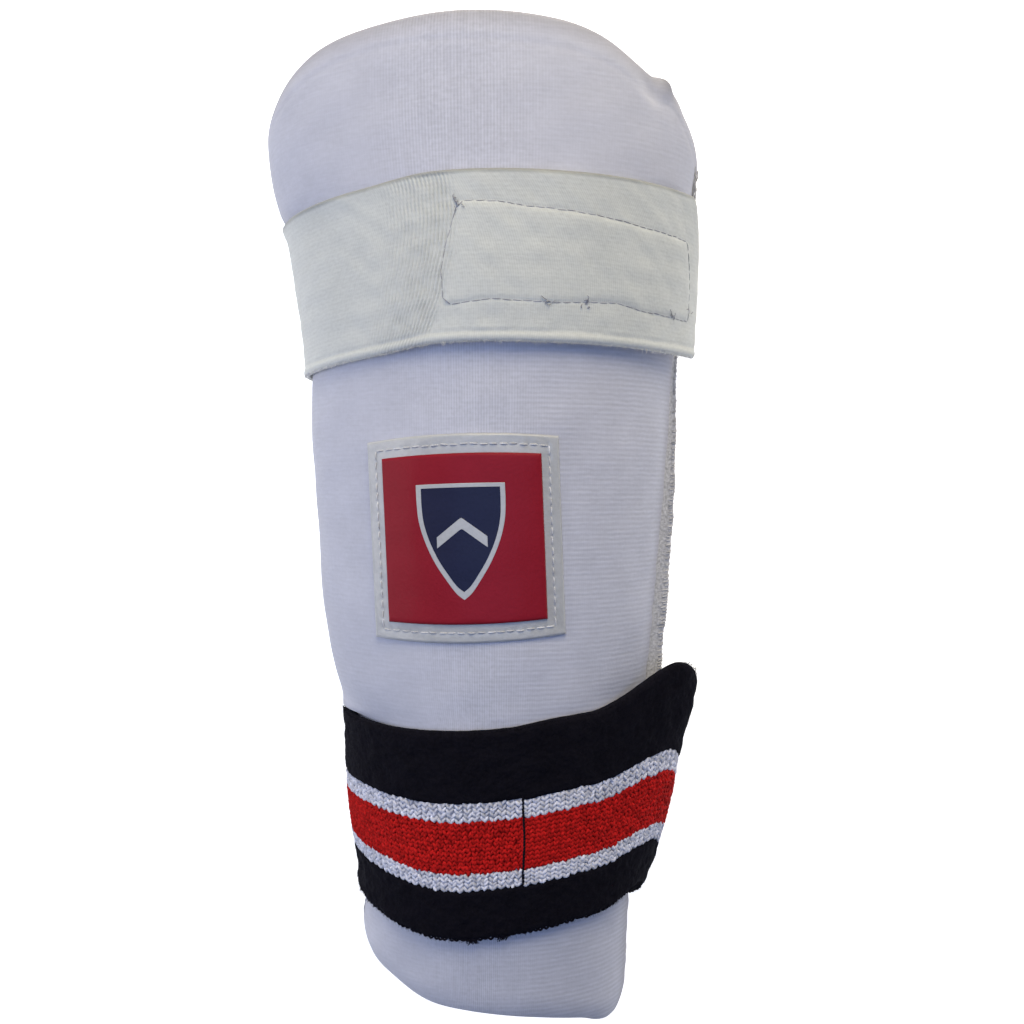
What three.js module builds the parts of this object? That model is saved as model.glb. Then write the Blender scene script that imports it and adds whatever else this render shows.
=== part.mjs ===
// An elbow guard for batting: a padded half pipe that covers the outside of the elbow and forearm.
// A wide elastic strap closes round the upper arm and a striped knitted band closes round the forearm.
// The guard lies on its open side, with the padded front up, as it does on a table.
// Units are millimetres. +Y runs from the wrist end to the upper-arm end, +X is right as seen from above, +Z is up.
// The origin is on the table, at the middle of the footprint.
import * as THREE from "three";
import { mergeVertices } from "three/addons/utils/BufferGeometryUtils.js";

// Clearance between neighbouring pieces
const GAP = 0.3;

// Places on the guard are measured from the ridge and the middle of the label. The footprint's middle is a little off.
const FOOTPRINT_MIDDLE = { x: -0.8, y: -1.9 };

// Padded body
const PAD_THICKNESS = 10;
const PAD_EDGE_THICKNESS = 3.4;
const PAD_EDGE_ROUND = 8;
const PAD_RIM_HEIGHT = 5;
const PAD_COLUMNS = 34;
const PAD_ROWS = 28;
// Shares of the guard's length with rows of their own, where the cover is drawn in by the band's upper edge
const PAD_DRAWN_ROWS = [0.27, 0.284, 0.31, 0.325];

// Sections along the guard: outer half widths to the left and right of the middle, and the height of the ridge
const PAD_SECTIONS = [
  { y: -138, left: 36.4, right: 42.4, ridge: 37.6 },
  { y: -116, left: 37.2, right: 43.2, ridge: 39.2 },
  { y: -100, left: 34.6, right: 44.0, ridge: 40.2 },
  { y: -88, left: 36.8, right: 44.8, ridge: 41.0 },
  { y: -76, left: 38.2, right: 45.6, ridge: 41.8 },
  { y: -64, left: 38.4, right: 46.7, ridge: 42.7 },
  { y: -53, left: 39.2, right: 47.8, ridge: 43.6 },
  { y: -46, left: 43.6, right: 48.5, ridge: 44.1 },
  { y: -40, left: 45.8, right: 49.2, ridge: 44.6 },
  { y: -20, left: 49.4, right: 51.0, ridge: 46.0 },
  { y: 4, left: 50.9, right: 53.0, ridge: 47.6 },
  { y: 28, left: 52.4, right: 54.8, ridge: 49.2 },
  { y: 52, left: 52.6, right: 56.4, ridge: 50.6 },
  { y: 76, left: 55.7, right: 59.2, ridge: 52.2 },
  { y: 88, left: 58.1, right: 61.2, ridge: 53.0 },
  { y: 96, left: 62.4, right: 62.6, ridge: 53.6 },
  { y: 114, left: 65.8, right: 64.0, ridge: 55.0 },
  { y: 140, left: 64.4, right: 62.8, ridge: 56.4 },
];

// Outline of the two ends: where they cross the arch, by the angle from the right rim over the ridge to the left rim
const PAD_ENDS = [
  { angle: 0, wrist: -134, upper: 104 },
  { angle: 12, wrist: -140.6, upper: 113 },
  { angle: 24, wrist: -142, upper: 120.4 },
  { angle: 32, wrist: -141, upper: 126 },
  { angle: 38, wrist: -139.6, upper: 126.4 },
  { angle: 43, wrist: -138.7, upper: 128.4 },
  { angle: 54, wrist: -137.2, upper: 133.7 },
  { angle: 66, wrist: -135.8, upper: 136.6 },
  { angle: 90, wrist: -133.7, upper: 138.2 },
  { angle: 112, wrist: -132.1, upper: 136.7 },
  { angle: 132, wrist: -128.2, upper: 134 },
  { angle: 152, wrist: -125.6, upper: 127.4 },
  { angle: 168, wrist: -121.5, upper: 121 },
  { angle: 180, wrist: -111, upper: 111 },
];

// Sewn edges of the cover, which stand out along both rims
const SEAM_THICKNESS = 1.5;
const SEAM_HEIGHT = 3.8;
const SEAM_INSET = 6;
const SEAM_END_INSET = 5;
const SEAM_ROWS = 56;
const SEAM_WAVE_COUNT = 19;
const SEAM_WAVE = 0.25;

// Standing width of the sewn edges beyond each rim, by their place along the guard
const SEAM_WIDTHS = [
  { y: -126, left: 1.4, right: -0.4 },
  { y: -112, left: 1.4, right: -1.6 },
  { y: -104, left: -1.0, right: -1.6 },
  { y: -80, left: -1.0, right: 0.6 },
  { y: -49, left: -1.0, right: 3.2 },
  { y: -38, left: 0.4, right: 3.6 },
  { y: 12, left: 0.6, right: 2.8 },
  { y: 38, left: 0.4, right: 1.5 },
  { y: 50, left: -0.8, right: 0.9 },
  { y: 88, left: -0.8, right: -0.3 },
  { y: 104, left: 0.4, right: 1.4 },
];

// Elastic strap round the upper arm
const STRAP_WIDTH = 44;
const STRAP_THICKNESS = 1.6;
const STRAP_FREE_ANGLE = { lower: 6, upper: 21, bow: 7 };
const STRAP_FIXED_X = 57.2;
const STRAP_CORNER_RADIUS = 5;
const STRAP_COLUMNS = { front: 34, corner: 6, floor: 14 };
const STRAP_ROWS = 5;

// Middle line of the strap and how far it stands off the cover at its lower and upper edges, by the angle on the arch
const STRAP_RUN = [
  { angle: 0, middle: 73.6, lowerLift: 5, upperLift: 2.2 },
  { angle: 25, middle: 73.2, lowerLift: 2.6, upperLift: 1.9 },
  { angle: 60, middle: 73.8, lowerLift: 1.9, upperLift: 1.9 },
  { angle: 96, middle: 73.6, lowerLift: 1.8, upperLift: 1.8 },
  { angle: 116, middle: 71.2, lowerLift: 0.6, upperLift: 0.5 },
  { angle: 150, middle: 68.8, lowerLift: 0.5, upperLift: 0.5 },
  { angle: 180, middle: 68.6, lowerLift: 0.9, upperLift: 0.8 },
];
const STRAP_FIXED_MIDDLE = 72;
// The fixed end lifts off the table to meet the sewn edge of the right rim
const STRAP_FIXED_RISE = SEAM_HEIGHT - SEAM_THICKNESS / 2 - GAP - STRAP_THICKNESS;
const STRAP_RISE_FROM = 0.8;

// Hook patch sewn under the free end of the strap
const HOOK_THICKNESS = 1.1;
const HOOK_WIDTH = 24.5;
const HOOK_MIDDLE_Y = 75.4;
const HOOK_ANGLES = { from: 20, to: 94 };
const HOOK_COLUMNS = 18;
const HOOK_ROWS = 3;

// Knitted band round the forearm: a lower and an upper pile stripe, with flat coloured stripes between them
const BAND_LOW_Y = -110;
const BAND_HIGH_Y = -51.5;
const BAND_PILE_THICKNESS = 2.8;
const BAND_STRIPE_THICKNESS = 2.2;
const BAND_LIFT = 0.8;
const BAND_SIDE_LIFT = { from: 130, to: 170, lift: 1.5 };
const BAND_CORNER_RADIUS = 5;
const BAND_COLUMNS = { front: 26, corner: 6, floor: 12, turn: 6, side: 10 };

// How far the band's lower and upper edges are pulled towards the upper arm on the front, by the angle on the arch.
// It leaves the arch at the first angle.
const BAND_FRONT_RISE = [
  { angle: 52, low: 3.9, high: 3.3 },
  { angle: 64, low: 2.6, high: 2.3 },
  { angle: 76, low: 1.3, high: 0.5 },
  { angle: 90, low: -0.1, high: -0.5 },
  { angle: 104, low: -0.4, high: -0.9 },
  { angle: 120, low: 1.1, high: -1.1 },
  { angle: 138, low: 3.2, high: -0.9 },
  { angle: 160, low: 5.2, high: -0.8 },
  { angle: 180, low: 6, high: -0.8 },
];
const BAND_LEAVES_ANGLE = BAND_FRONT_RISE[0].angle;

// Loose fold at the band's right, by the share of the band's width: how far it reaches beyond the rim, the radius and
// height of its turn, and how far it is pulled towards the upper arm
const BAND_FOLD = [
  { share: 0, reach: 2.0, radius: 4.5, height: 7.5, rise: 5.6 },
  { share: 0.15, reach: 4.8, radius: 5.5, height: 8, rise: 5.6 },
  { share: 0.45, reach: 8.8, radius: 7, height: 9, rise: 6.5 },
  { share: 0.72, reach: 10.2, radius: 8, height: 10, rise: 8.8 },
  { share: 0.88, reach: 12.2, radius: 9, height: 11, rise: 11.4 },
  { share: 1, reach: 12.6, radius: 9, height: 11, rise: 13.3 },
];
const BAND_SIDE_HANDLE = { fold: 7, front: 16 };
// Share of the fold's pull that the turn takes, before the side's
const BAND_TURN_SHARE = 0.3;

// Rows across the band, from its lower to its upper edge: share of the width, and share of the full pile thickness
const BAND_ROWS = [
  { share: 0.0, pile: -2.2 },
  { share: 0.02, pile: 0.5 },
  { share: 0.06, pile: 1.0 },
  { share: 0.215, pile: 1.0 },
  { share: 0.25, pile: 0.0 },
  { share: 0.44, pile: 0.0 },
  { share: 0.63, pile: 0.0 },
  { share: 0.665, pile: 1.0 },
  { share: 0.94, pile: 1.0 },
  { share: 0.98, pile: 0.5 },
  { share: 1.0, pile: -2.2 },
];

// Sewn label on the front: a white border sheet, with a red panel in the middle
const LABEL_MIDDLE_Y = 0;
const LABEL_MIDDLE_X = -1;
const LABEL_BOW = 1.4;
const LABEL_TURN = 1.8;
const LABEL_COLUMNS = 14;
const LABEL_ROWS = 6;
const LABEL_BASE = { width: 52, height: 53.5, thickness: 0.8, lift: GAP };
const LABEL_PANEL = { width: 42.4, height: 43.6, thickness: 0.5, lift: 2 * GAP + LABEL_BASE.thickness };

const materials = {
  cover: new THREE.MeshStandardMaterial({ color: 0xdcdde6, roughness: 0.9, metalness: 0 }),
  seam: new THREE.MeshStandardMaterial({ color: 0xd8d6d6, roughness: 0.95, metalness: 0 }),
  elastic: new THREE.MeshStandardMaterial({ color: 0xd9dcd6, roughness: 0.85, metalness: 0 }),
  hook: new THREE.MeshStandardMaterial({ color: 0xe4e4e0, roughness: 0.8, metalness: 0 }),
  band: new THREE.MeshStandardMaterial({ color: 0x121116, roughness: 0.95, metalness: 0 }),
  label: new THREE.MeshStandardMaterial({ color: 0xe0e0e2, roughness: 0.3, metalness: 0 }),
  panel: new THREE.MeshStandardMaterial({ color: 0xa01426, roughness: 0.25, metalness: 0 }),
};

const mix = THREE.MathUtils.lerp;

// A table's column at a place between its rows, on a smooth curve through them
function tableValue(table, key, column, place) {
  const last = table.length - 1;
  if (place <= table[0][key]) return table[0][column];
  if (place >= table[last][key]) return table[last][column];
  const i = table.findIndex((row) => row[key] > place) - 1;
  const slope = (n) => {
    const before = table[Math.max(n - 1, 0)];
    const after = table[Math.min(n + 1, last)];
    return (after[column] - before[column]) / (after[key] - before[key]);
  };
  const span = table[i + 1][key] - table[i][key];
  const t = (place - table[i][key]) / span;
  const bend = t * t * (3 - 2 * t);
  const leaving = slope(i) * span * t * (1 - t) * (1 - t);
  const arriving = slope(i + 1) * span * t * t * (1 - t);
  return mix(table[i][column], table[i + 1][column], bend) + leaving - arriving;
}

// A place in the cross section of the guard, with the direction that points away from the arm there
function sectionPlace(x, z, outX, outZ) {
  return { at: new THREE.Vector2(x, z), out: new THREE.Vector2(outX, outZ).normalize() };
}

// The outer face of the padded body at an angle in degrees, from the right rim at 0 to the left rim at 180
function arch(angle, y) {
  const turn = THREE.MathUtils.degToRad(angle);
  const half = tableValue(PAD_SECTIONS, "y", angle < 90 ? "right" : "left", y);
  const rise = tableValue(PAD_SECTIONS, "y", "ridge", y) - PAD_RIM_HEIGHT;
  const [across, up] = [Math.cos(turn), Math.sin(turn)];
  return sectionPlace(half * across, PAD_RIM_HEIGHT + rise * up, across / half, up / rise);
}

// A point at a depth outside a place of the cross section
function raised(place, depth, y) {
  return new THREE.Vector3(place.at.x + place.out.x * depth, y, place.at.y + place.out.y * depth);
}

// Stations from 0 to 1 that crowd towards both ends, where a padded edge turns
function easedStations(count) {
  return Array.from({ length: count + 1 }, (_, i) => {
    const t = i / count;
    return mix(t, 0.5 - 0.5 * Math.cos(Math.PI * t), 0.85);
  });
}

function evenStations(count) {
  return Array.from({ length: count + 1 }, (_, i) => i / count);
}

// A closed solid from a bent sheet. place(u, v, side) gives each corner, with side 1 on the outer face and 0 on the
// inner one. With loop, the last column joins the first.
function thickSheet(columns, rows, place, loop = false) {
  const points = [];
  for (const u of loop ? columns.slice(0, -1) : columns) {
    for (const v of rows) {
      for (const side of [0, 1]) points.push(place(u, v, side));
    }
  }
  const lastColumn = columns.length - 1;
  const lastRow = rows.length - 1;
  const corner = (i, j, side) => ((loop ? i % lastColumn : i) * rows.length + j) * 2 + side;
  const triangles = [];
  const quad = (a, b, c, d) => triangles.push(a, b, c, a, c, d);
  for (let i = 0; i < lastColumn; i++) {
    for (let j = 0; j < lastRow; j++) {
      quad(corner(i, j, 1), corner(i, j + 1, 1), corner(i + 1, j + 1, 1), corner(i + 1, j, 1));
      quad(corner(i, j, 0), corner(i + 1, j, 0), corner(i + 1, j + 1, 0), corner(i, j + 1, 0));
    }
    quad(corner(i, 0, 0), corner(i, 0, 1), corner(i + 1, 0, 1), corner(i + 1, 0, 0));
    quad(corner(i, lastRow, 0), corner(i + 1, lastRow, 0), corner(i + 1, lastRow, 1), corner(i, lastRow, 1));
  }
  for (let j = 0; j < lastRow && !loop; j++) {
    quad(corner(0, j, 0), corner(0, j + 1, 0), corner(0, j + 1, 1), corner(0, j, 1));
    const [near, far] = [corner(lastColumn, j, 0), corner(lastColumn, j + 1, 0)];
    quad(near, corner(lastColumn, j, 1), corner(lastColumn, j + 1, 1), far);
  }
  const geometry = new THREE.BufferGeometry().setFromPoints(points);
  geometry.setIndex(triangles);
  const merged = mergeVertices(geometry, 1e-4);
  merged.computeVertexNormals();
  return merged;
}

function piece(name, geometry, material) {
  const mesh = new THREE.Mesh(geometry, material);
  mesh.name = name;
  return mesh;
}

// How full the padding is at a distance from a sewn edge: 0 at the edge, 1 inside the rounded border
function fullness(distance) {
  const inside = Math.min(distance / PAD_EDGE_ROUND, 1);
  return Math.sqrt(1 - (1 - inside) ** 2);
}

// The padded body: a half pipe with a domed upper end, thinner towards its edges
function padGeometry() {
  const place = (u, v, side) => {
    const angle = 180 * u;
    const wrist = tableValue(PAD_ENDS, "angle", "wrist", angle);
    const upper = tableValue(PAD_ENDS, "angle", "upper", angle);
    const y = mix(wrist, upper, v);
    const girth = Math.PI * tableValue(PAD_SECTIONS, "y", "ridge", y);
    const full = fullness(Math.min(v, 1 - v) * (upper - wrist)) * fullness(Math.min(u, 1 - u) * girth);
    const thickness = mix(PAD_EDGE_THICKNESS, PAD_THICKNESS, full);
    const drawnIn = (PAD_THICKNESS - thickness) / 2;
    return raised(arch(angle, y), side ? -drawnIn : -drawnIn - thickness, y);
  };
  const rows = [...easedStations(PAD_ROWS), ...PAD_DRAWN_ROWS].sort((a, b) => a - b);
  return thickSheet(easedStations(PAD_COLUMNS), rows, place);
}

// A sewn edge along one rim, flat and slightly wavy. sideName is "left" or "right".
function seamGeometry(sideName) {
  const outward = sideName === "right" ? 1 : -1;
  const ends = PAD_ENDS[sideName === "right" ? 0 : PAD_ENDS.length - 1];
  const [from, to] = [ends.wrist + SEAM_END_INSET, ends.upper - SEAM_END_INSET];
  const place = (u, v, side) => {
    const y = mix(from, to, u);
    const rim = tableValue(PAD_SECTIONS, "y", sideName, y);
    const wave = SEAM_WAVE * Math.sin(2 * Math.PI * SEAM_WAVE_COUNT * u);
    const width = tableValue(SEAM_WIDTHS, "y", sideName, y) + wave;
    const x = outward * mix(rim - SEAM_INSET, rim + width, outward > 0 ? v : 1 - v);
    return new THREE.Vector3(x, y, SEAM_HEIGHT + (side - 0.5) * SEAM_THICKNESS);
  };
  return thickSheet(evenStations(SEAM_ROWS), evenStations(2), place);
}

// The turn from the left side of the arch to the table, at a share of the quarter circle
function leftCorner(arriving, radius, floorZ, share) {
  const middleX = arriving.x + radius;
  const drop = arriving.y - floorZ;
  const turn = Math.PI * (1 + share / 2);
  const [across, up] = [Math.cos(turn), Math.sin(turn)];
  return sectionPlace(middleX + radius * across, arriving.y + drop * up, across / radius, up / drop);
}

function totalColumns(columns) {
  return Object.values(columns).reduce((sum, count) => sum + count, 0);
}

// Where a run of stretches is at a share of its whole: the stretch's name and the share of that stretch
function stretchAt(columns, share) {
  let station = Math.round(share * totalColumns(columns));
  for (const [name, count] of Object.entries(columns)) {
    if (station <= count) return [name, station / count];
    station -= count;
  }
  throw new Error("a share runs from 0 to 1");
}

// The middle of the strap's thickness on the front of the guard
function strapFront(angle, v, y) {
  const lower = tableValue(STRAP_RUN, "angle", "lowerLift", angle);
  const upper = tableValue(STRAP_RUN, "angle", "upperLift", angle);
  const onArch = arch(angle, y);
  onArch.at.addScaledVector(onArch.out, mix(lower, upper, v) + STRAP_THICKNESS / 2);
  return onArch;
}

// The elastic strap: from its free end on the right, over the front, round the left rim and along the table
function strapGeometry() {
  const place = (u, v, side) => {
    const [stretch, share] = stretchAt(STRAP_COLUMNS, u);
    const bow = STRAP_FREE_ANGLE.bow * 4 * v * (1 - v);
    const freeAngle = mix(STRAP_FREE_ANGLE.lower, STRAP_FREE_ANGLE.upper, v) - bow;
    const angle = stretch === "front" ? mix(freeAngle, 180, share) : 180;
    const frontMiddle = tableValue(STRAP_RUN, "angle", "middle", angle);
    const middle = stretch === "floor" ? mix(frontMiddle, STRAP_FIXED_MIDDLE, share) : frontMiddle;
    const y = middle + (v - 0.5) * STRAP_WIDTH;
    let section = strapFront(angle, v, y);
    if (stretch !== "front") {
      const turned = stretch === "corner" ? share : 1;
      section = leftCorner(section.at, STRAP_CORNER_RADIUS, STRAP_THICKNESS / 2, turned);
    }
    if (stretch === "floor") {
      section.at.x = mix(section.at.x, STRAP_FIXED_X, share);
      section.at.y += STRAP_FIXED_RISE * THREE.MathUtils.smoothstep(share, STRAP_RISE_FROM, 1);
    }
    return raised(section, (side - 0.5) * STRAP_THICKNESS, y);
  };
  return thickSheet(evenStations(totalColumns(STRAP_COLUMNS)), evenStations(STRAP_ROWS), place);
}

// The hook patch under the strap's free end, lying on the cover
function hookGeometry() {
  const place = (u, v, side) => {
    const y = HOOK_MIDDLE_Y + (v - 0.5) * HOOK_WIDTH;
    const angle = mix(HOOK_ANGLES.from, HOOK_ANGLES.to, u);
    return raised(arch(angle, y), GAP + side * HOOK_THICKNESS, y);
  };
  return thickSheet(evenStations(HOOK_COLUMNS), evenStations(HOOK_ROWS), place);
}

// The knitted band's cross section: over the front, round the left rim, along the table and up a loose right fold
function bandSection(stretch, share, v, y) {
  const half = BAND_STRIPE_THICKNESS / 2;
  const floorZ = BAND_PILE_THICKNESS - half;
  const angle = stretch === "front" ? mix(BAND_LEAVES_ANGLE, 180, share) : 180;
  const onArch = arch(angle, y);
  const atSide = THREE.MathUtils.smoothstep(angle, BAND_SIDE_LIFT.from, BAND_SIDE_LIFT.to);
  onArch.at.addScaledVector(onArch.out, mix(BAND_LIFT, BAND_SIDE_LIFT.lift, atSide) + half);
  if (stretch === "front") return onArch;
  if (stretch === "corner") return leftCorner(onArch.at, BAND_CORNER_RADIUS, floorZ, share);
  const floorStart = onArch.at.x + BAND_CORNER_RADIUS;
  const fold = (column) => tableValue(BAND_FOLD, "share", column, v);
  const foldX = tableValue(PAD_SECTIONS, "y", "right", y) + fold("reach");
  const foldZ = fold("height");
  const radius = fold("radius");
  const turnX = foldX - radius;
  if (stretch === "floor") return sectionPlace(mix(floorStart, turnX, share), floorZ, 0, -1);
  if (stretch === "turn") {
    const [across, up] = [Math.sin((share * Math.PI) / 2), -Math.cos((share * Math.PI) / 2)];
    const drop = foldZ - floorZ;
    return sectionPlace(turnX + radius * across, foldZ + drop * up, across / radius, up / drop);
  }
  const leaves = arch(BAND_LEAVES_ANGLE, y);
  leaves.at.addScaledVector(leaves.out, BAND_LIFT + half);
  const downhill = new THREE.Vector2(leaves.out.y, -leaves.out.x);
  const side = new THREE.CubicBezierCurve(
    new THREE.Vector2(foldX, foldZ),
    new THREE.Vector2(foldX, foldZ + BAND_SIDE_HANDLE.fold),
    leaves.at.clone().addScaledVector(downhill, BAND_SIDE_HANDLE.front),
    leaves.at,
  );
  const at = side.getPoint(share);
  const along = side.getTangent(share);
  return sectionPlace(at.x, at.y, along.y, -along.x);
}

// How far a part of the band is pulled towards the upper arm: most in the right fold
function bandRise(stretch, share, v) {
  const onFront = (angle) => {
    const low = tableValue(BAND_FRONT_RISE, "angle", "low", angle);
    return mix(low, tableValue(BAND_FRONT_RISE, "angle", "high", angle), v);
  };
  if (stretch === "front") return onFront(mix(BAND_LEAVES_ANGLE, 180, share));
  if (stretch === "corner") return onFront(180);
  if (stretch === "floor") return mix(onFront(180), 0, share);
  const along = stretch === "turn" ? BAND_TURN_SHARE * share : mix(BAND_TURN_SHARE, 1, share);
  const pull = tableValue(BAND_FOLD, "share", "rise", v) * Math.sin(Math.PI * along) ** 2;
  return pull + onFront(BAND_LEAVES_ANGLE) * THREE.MathUtils.smoothstep(along, 0, 1);
}

// The knitted band, a closed loop whose pile stripes are thicker than the flat stripes between them
function bandGeometry() {
  const place = (u, v, side) => {
    const row = BAND_ROWS[Math.round(v * (BAND_ROWS.length - 1))];
    const [stretch, share] = stretchAt(BAND_COLUMNS, u);
    const y = mix(BAND_LOW_Y, BAND_HIGH_Y, row.share) + bandRise(stretch, share, row.share);
    const extra = (BAND_PILE_THICKNESS - BAND_STRIPE_THICKNESS) * row.pile;
    const depth = side ? BAND_STRIPE_THICKNESS / 2 + extra : -BAND_STRIPE_THICKNESS / 2;
    return raised(bandSection(stretch, share, row.share, y), depth, y);
  };
  return thickSheet(evenStations(totalColumns(BAND_COLUMNS)), evenStations(BAND_ROWS.length - 1), place, true);
}

// A sheet of the label, turned a little and bent to the front of the guard, with its ends bowed outwards
function labelGeometry(sheet) {
  const turn = THREE.MathUtils.degToRad(LABEL_TURN);
  const place = (u, v, side) => {
    const bow = LABEL_BOW * (1 - (2 * u - 1) ** 2) * (2 * v - 1);
    const flat = new THREE.Vector2((0.5 - u) * sheet.width, (v - 0.5) * sheet.height + bow);
    const turned = flat.rotateAround(new THREE.Vector2(), turn);
    const [x, y] = [LABEL_MIDDLE_X + turned.x, LABEL_MIDDLE_Y + turned.y];
    const half = tableValue(PAD_SECTIONS, "y", x > 0 ? "right" : "left", y);
    const angle = 90 - THREE.MathUtils.radToDeg(Math.asin(x / half));
    return raised(arch(angle, y), sheet.lift + side * sheet.thickness, y);
  };
  return thickSheet(evenStations(LABEL_COLUMNS), evenStations(LABEL_ROWS), place);
}

const guard = new THREE.Group();
guard.position.set(-FOOTPRINT_MIDDLE.x, -FOOTPRINT_MIDDLE.y, 0);
guard.add(
  piece("pad", padGeometry(), materials.cover),
  piece("side_seam_left", seamGeometry("left"), materials.seam),
  piece("side_seam_right", seamGeometry("right"), materials.seam),
  piece("elastic_strap", strapGeometry(), materials.elastic),
  piece("hook_patch", hookGeometry(), materials.hook),
  piece("knit_band", bandGeometry(), materials.band),
  piece("label_base", labelGeometry(LABEL_BASE), materials.label),
  piece("label_panel", labelGeometry(LABEL_PANEL), materials.panel),
);

export default guard;
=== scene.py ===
import math

import bpy
import numpy as np
from mathutils import Matrix, Vector


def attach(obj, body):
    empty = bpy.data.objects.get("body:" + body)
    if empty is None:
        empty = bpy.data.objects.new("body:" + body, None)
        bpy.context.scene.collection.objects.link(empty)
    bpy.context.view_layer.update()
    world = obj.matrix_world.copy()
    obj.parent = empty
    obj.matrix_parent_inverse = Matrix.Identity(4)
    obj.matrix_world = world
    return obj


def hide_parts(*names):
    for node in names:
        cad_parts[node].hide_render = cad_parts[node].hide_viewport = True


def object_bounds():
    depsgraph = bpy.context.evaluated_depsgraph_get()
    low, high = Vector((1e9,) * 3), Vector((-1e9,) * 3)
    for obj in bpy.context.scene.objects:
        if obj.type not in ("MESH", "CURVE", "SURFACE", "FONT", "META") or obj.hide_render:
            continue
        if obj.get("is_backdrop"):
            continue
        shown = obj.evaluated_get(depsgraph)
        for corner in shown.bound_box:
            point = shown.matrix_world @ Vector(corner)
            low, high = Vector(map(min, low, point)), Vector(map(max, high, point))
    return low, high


# The look of an elbow guard for batting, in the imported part's frame.
# Shapes are worked out in millimetres: +Y runs from wrist to upper arm, +X to the right and +Z up.

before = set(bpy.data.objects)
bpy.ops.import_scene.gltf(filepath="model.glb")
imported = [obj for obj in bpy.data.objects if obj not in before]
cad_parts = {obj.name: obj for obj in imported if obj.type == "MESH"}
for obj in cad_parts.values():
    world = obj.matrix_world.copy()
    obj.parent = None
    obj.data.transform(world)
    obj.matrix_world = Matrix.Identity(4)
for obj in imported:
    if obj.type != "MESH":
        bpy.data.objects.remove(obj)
cad_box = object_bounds()

MM = 0.001
FOOTPRINT_MIDDLE = np.array([-0.8, -1.9, 0.0])
rng = np.random.default_rng(31)


def table(names, *rows):
    """Columns of numbers by name. Places are looked up in the first column."""
    return {name: np.array(column, float) for name, column in zip(names.split(), zip(*rows))}


# Pad: half widths to the left and right of the middle line and the ridge's height, along the arm
PAD_THICKNESS = 10.0
PAD_EDGE_THICKNESS = 3.4
PAD_EDGE_ROUND = 8.0
PAD_LIP_ROUND = 1.7
PAD_RIM_HEIGHT = 5.0
PAD_SECTIONS = table(
    "y left right ridge",
    (-138, 36.4, 42.4, 37.6),
    (-116, 37.2, 43.2, 39.2),
    (-100, 34.6, 44.0, 40.2),
    (-88, 36.8, 44.8, 41.0),
    (-76, 38.2, 45.6, 41.8),
    (-64, 38.4, 46.7, 42.7),
    (-53, 39.2, 47.8, 43.6),
    (-46, 43.6, 48.5, 44.1),
    (-40, 45.8, 49.2, 44.6),
    (-20, 49.4, 51.0, 46.0),
    (4, 50.9, 53.0, 47.6),
    (28, 52.4, 54.8, 49.2),
    (52, 52.6, 56.4, 50.6),
    (76, 55.7, 59.2, 52.2),
    (88, 58.1, 61.2, 53.0),
    (96, 62.4, 62.6, 53.6),
    (114, 65.8, 64.0, 55.0),
    (140, 64.4, 62.8, 56.4),
)
PAD_ENDS = table(
    "angle wrist upper",
    (0, -134, 104),
    (12, -140.6, 113),
    (24, -142, 120.4),
    (32, -141, 126),
    (38, -139.6, 126.4),
    (43, -138.7, 128.4),
    (54, -137.2, 133.7),
    (66, -135.8, 136.6),
    (90, -133.7, 138.2),
    (112, -132.1, 136.7),
    (132, -128.2, 134),
    (152, -125.6, 127.4),
    (168, -121.5, 121),
    (180, -111, 111),
)

# Sewn flanges along the two rims
SEAM_THICKNESS = 1.5
SEAM_HEIGHT = 3.8
SEAM_INSET = 6.0
SEAM_END_INSET = 5.0
SEAM_TUCK = 1.0
SEAM_SLOPE = 4.0
SEAM_END_ROUND = 7.0
OVERLOCK_STEP = 1.1
# Loose seam threads on the rims: where they run along the arm and round the pad, and how far they stand out
RAGGED_THREADS = 7
RAGGED_UPPER = {"along": (80.0, 110.0), "angles": (9.0, 15.0), "reach": (-0.5, 0.2)}
RAGGED_WRIST = {"along": (-118.0, -103.0), "angles": (166.0, 176.0), "reach": (-0.2, 0.5)}
# Where the frayed seam draws the rim in, along the arm
DRAWN_IN = (80.0, 105.0)
SEAM_WIDTHS = table(
    "y left right",
    (-126, 1.4, -0.4),
    (-112, 1.4, -1.6),
    (-104, -1.0, -1.6),
    (-80, -1.0, 0.6),
    (-49, -1.0, 3.2),
    (-38, 0.4, 3.6),
    (12, 0.6, 2.8),
    (38, 0.4, 1.5),
    (50, -0.8, 0.9),
    (88, -0.8, -0.3),
    (104, 0.4, 1.4),
)

# Elastic strap: from its free end over the front, round the left rim and under the guard
STRAP_WIDTH = 44.0
STRAP_THICKNESS = 1.6
STRAP_FREE_ANGLE = (6.0, 21.0)
STRAP_FREE_BOW = 7.0
STRAP_FIXED_X = 57.2
STRAP_FIXED_MIDDLE = 72.0
STRAP_FIXED_RISE = 1.15
STRAP_RISE_FROM = 0.8
STRAP_CORNER_RADIUS = 5.0
STRAP_STEPS = {"front": 320, "corner": 24, "floor": 80}
STRAP_SHARES = 45
STRAP_RUN = table(
    "angle middle lower upper",
    (0, 73.6, 5.0, 2.2),
    (25, 73.2, 2.6, 1.9),
    (60, 73.8, 1.9, 1.9),
    (96, 73.6, 1.8, 1.8),
    (116, 71.2, 0.6, 0.5),
    (150, 68.8, 0.5, 0.5),
    (180, 68.6, 0.9, 0.8),
)
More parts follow.
